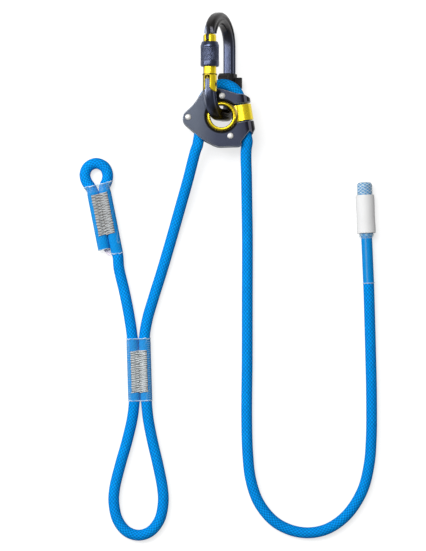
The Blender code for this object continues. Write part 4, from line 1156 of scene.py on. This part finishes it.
def grip(name, depth, material):
    """The screw sleeve: a closed profile of radius and height turned about the gate's axis,
    with a knurl of r = R - depth (1 - min(tri(a), tri(b))), where a and b are n t / 2 pi +-
    y / pitch and tri is a triangle wave from 0 to 1; a groove inside holds the ring."""
    outer = GRIP_RADIUS / MM
    low, high = KNURL_ENDS
    wall = [
        (6.15, 21.5), (6.45, 21.8), (6.75, 21.8), (6.98, 21.66), (8.02, 18.9), (8.16, 18.4),
        (outer, 17.9), (outer, 17.35),
        *[(outer, y) for y in np.linspace(high / MM, low / MM, 43)],
        (outer, 4.45), (outer, 1.3), (8.12, 0.8), (7.86, 0.32), (7.45, 0.05), (7.2, 0.0),
        (6.3, 0.0), (6.15, 0.2), (6.15, 2.1), (7.25, 2.1), (7.25, 3.9), (6.15, 3.9),
        (6.15, 21.5),
    ]
    radius, y = np.array(wall).T * MM
    t = circle(8 * KNURL_COUNT)[None]
    radius, y = radius[:, None] + 0 * t, y[:, None] + 0 * t
    turns, climb = KNURL_COUNT * t / (2 * math.pi), y / KNURL_PITCH
    tri = [1 - np.abs(2 * (p - np.floor(p)) - 1) for p in (turns + climb, turns - climb)]
    zone = rise((y - low) / (0.5 * MM)) * rise((high - y) / (0.5 * MM))
    zone = zone * (radius > GRIP_RADIUS - 0.1 * MM)
    radius = radius - depth * zone * (1 - np.minimum(*tri))
    points = on_gate(radius * np.cos(t), y + SLEEVE_Y, radius * np.sin(t))
    piece = outward(grid(name, points, cap=(False, False)), 0.001 * MM)
    finish_piece(piece, material, "screw_sleeve", "screw_sleeve", 38 * DEG)


class LANYARD_OT_connector(bpy.types.Operator):
    """Connector body, gate with its works, screw sleeve and rubber keeper"""

    bl_idname = "lanyard.connector"
    bl_label = "Connector"

    def execute(self, context):
        metal = context.scene.lanyard_metal
        # Painted light and shade on the bar: a grey top bend, shade where it passes through the
        # eye and a lit left flank
        dark = anodised_material(
            "dark anodised bar", metal.bar, 0.30, fade=(*BAR_TOP_LIGHT_FADE, metal.top),
            rings=BAR_EYE_SHADE, lines=BAR_LIT_FLANK,
        )
        plain = anodised_material("dark anodised sleeve", metal.bar, 0.30)
        # Painted shade on the gate's left flank and in its barrel's groove
        gold = gold_material("gold anodised gate", metal.gold, lines=GATE_SHADE_LINES)
        steel = steel_material("spring steel", metal.dim)
        rubber = rubber_material("keeper rubber", metal.rubber)
        grip("sleeve_grip", metal.knurl, plain)
        refined("connector_body", "bar", dark, "connector", 0.2 * MM)
        refined("gate", "gate_barrel", gold, "gate", 0.2 * MM)
        refined("gate_pivot", "gate_pin", steel, "connector")
        refined("gate_plunger", "gate_pusher", steel, "gate_plunger")
        coil = refined("gate_spring", "gate_coil", steel, "gate")
        refined("sleeve_ring", "snap_ring", steel, "sleeve_ring")
        refined("keeper", "keeper_band", rubber, "connector", 0.3 * MM)
        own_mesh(coil)
        return {"FINISHED"}


# Stage


def make_floor():
    """A pale floor that camera, metal and glass see as white."""
    corners = FLOOR_HALF * np.array([(-1, -1, 0), (1, -1, 0), (1, 1, 0), (-1, 1, 0)])
    floor = mesh_from("floor", corners - FLOOR_DROP * UP, [(0, 1, 2, 3)])
    g = principled("pale floor", FLOOR_GREY, 0.9)
    rays = (f"Is {kind} Ray" for kind in ("Camera", "Glossy", "Transmission"))
    camera, mirror, glass = (g.node("LightPath", ray) for ray in rays)
    seen = g.math("MAXIMUM", g.math("MAXIMUM", camera, mirror), glass)
    g.to("Emission Color", shade(WHITE))
    g.to("Emission Strength", g.math("MULTIPLY", seen, FLOOR_SEEN))
    floor.data.materials.append(g.owner)


def make_camera(stage):
    """A camera straight above the middle of the picture."""
    data = bpy.data.cameras.new("camera")
    data.sensor_width = 36.0
    data.lens = data.sensor_width * stage.height / stage.view_height
    data.clip_start, data.clip_end = 0.05, 20.0
    camera = linked("camera", data)
    camera.location = PICTURE_CENTRE + stage.height * UP
    bpy.context.scene.camera = camera


def make_lamp(name, place, width, power):
    """A round lamp at a place from the middle of the picture, aimed at that middle."""
    light = bpy.data.lights.new(name, "AREA")
    light.shape = "DISK"
    light.size = width
    light.energy = power
    lamp = linked(name, light)
    lamp.location = PICTURE_CENTRE + place
    lamp.rotation_euler = Vector(place).to_track_quat("Z", "Y").to_euler()


def make_sky(strength):
    """Light from all round, which the camera sees as white."""
    world = bpy.data.worlds.new("sky")
    g = Graph(world, "Background")
    g.to("Color", shade(WHITE))
    g.to("Strength", g.span(g.node("LightPath", "Is Camera Ray"), strength, 1.0))
    bpy.context.scene.world = world


class LANYARD_OT_stage(bpy.types.Operator):
    """Pale floor, soft lamps and the camera straight above"""

    bl_idname = "lanyard.stage"
    bl_label = "Stage"

    def execute(self, context):
        stage = context.scene.lanyard_stage
        make_floor()
        make_camera(stage)
        for name, (place, width) in LAMPS.items():
            make_lamp(name, place, width, getattr(stage, name))
        make_sky(stage.sky)
        context.scene.view_settings.view_transform = "Standard"
        return {"FINISHED"}


class LANYARD_PT_panel(bpy.types.Panel):
    """Buttons and settings of the lanyard"""

    bl_label = "Y-lanyard"
    bl_idname = "LANYARD_PT_panel"
    bl_space_type = "VIEW_3D"
    bl_region_type = "UI"
    bl_category = "Lanyard"

    def draw(self, context):
        for name, group in GROUPS:
            column = self.layout.column(align=True)
            for key in group.__annotations__:
                column.prop(getattr(context.scene, name), key)
        for operator in OPERATORS:
            self.layout.operator(operator.bl_idname)


GROUPS = (
    ("lanyard_rope", RopeSettings),
    ("lanyard_seams", SeamSettings),
    ("lanyard_metal", MetalSettings),
    ("lanyard_stage", StageSettings),
)
OPERATORS = (
    LANYARD_OT_stage,
    LANYARD_OT_rope,
    LANYARD_OT_seams,
    LANYARD_OT_tail_end,
    LANYARD_OT_adjuster,
    LANYARD_OT_connector,
)


def register():
    for name, group in GROUPS:
        bpy.utils.register_class(group)
        setattr(bpy.types.Scene, name, bpy.props.PointerProperty(type=group))
    for kind in (*OPERATORS, LANYARD_PT_panel):
        bpy.utils.register_class(kind)


def unregister():
    for kind in (LANYARD_PT_panel, *reversed(OPERATORS)):
        bpy.utils.unregister_class(kind)
    for name, group in reversed(GROUPS):
        delattr(bpy.types.Scene, name)
        bpy.utils.unregister_class(group)


def declare_cords(rope):
    standing, _, tail = rope_paths(rope.step)


def main():
    register()
    for operator in OPERATORS:
        call = getattr(bpy.ops.lanyard, operator.bl_idname.split(".")[1])
        call()
    declare_cords(bpy.context.scene.lanyard_rope)


if __name__ == "__main__":
    main()
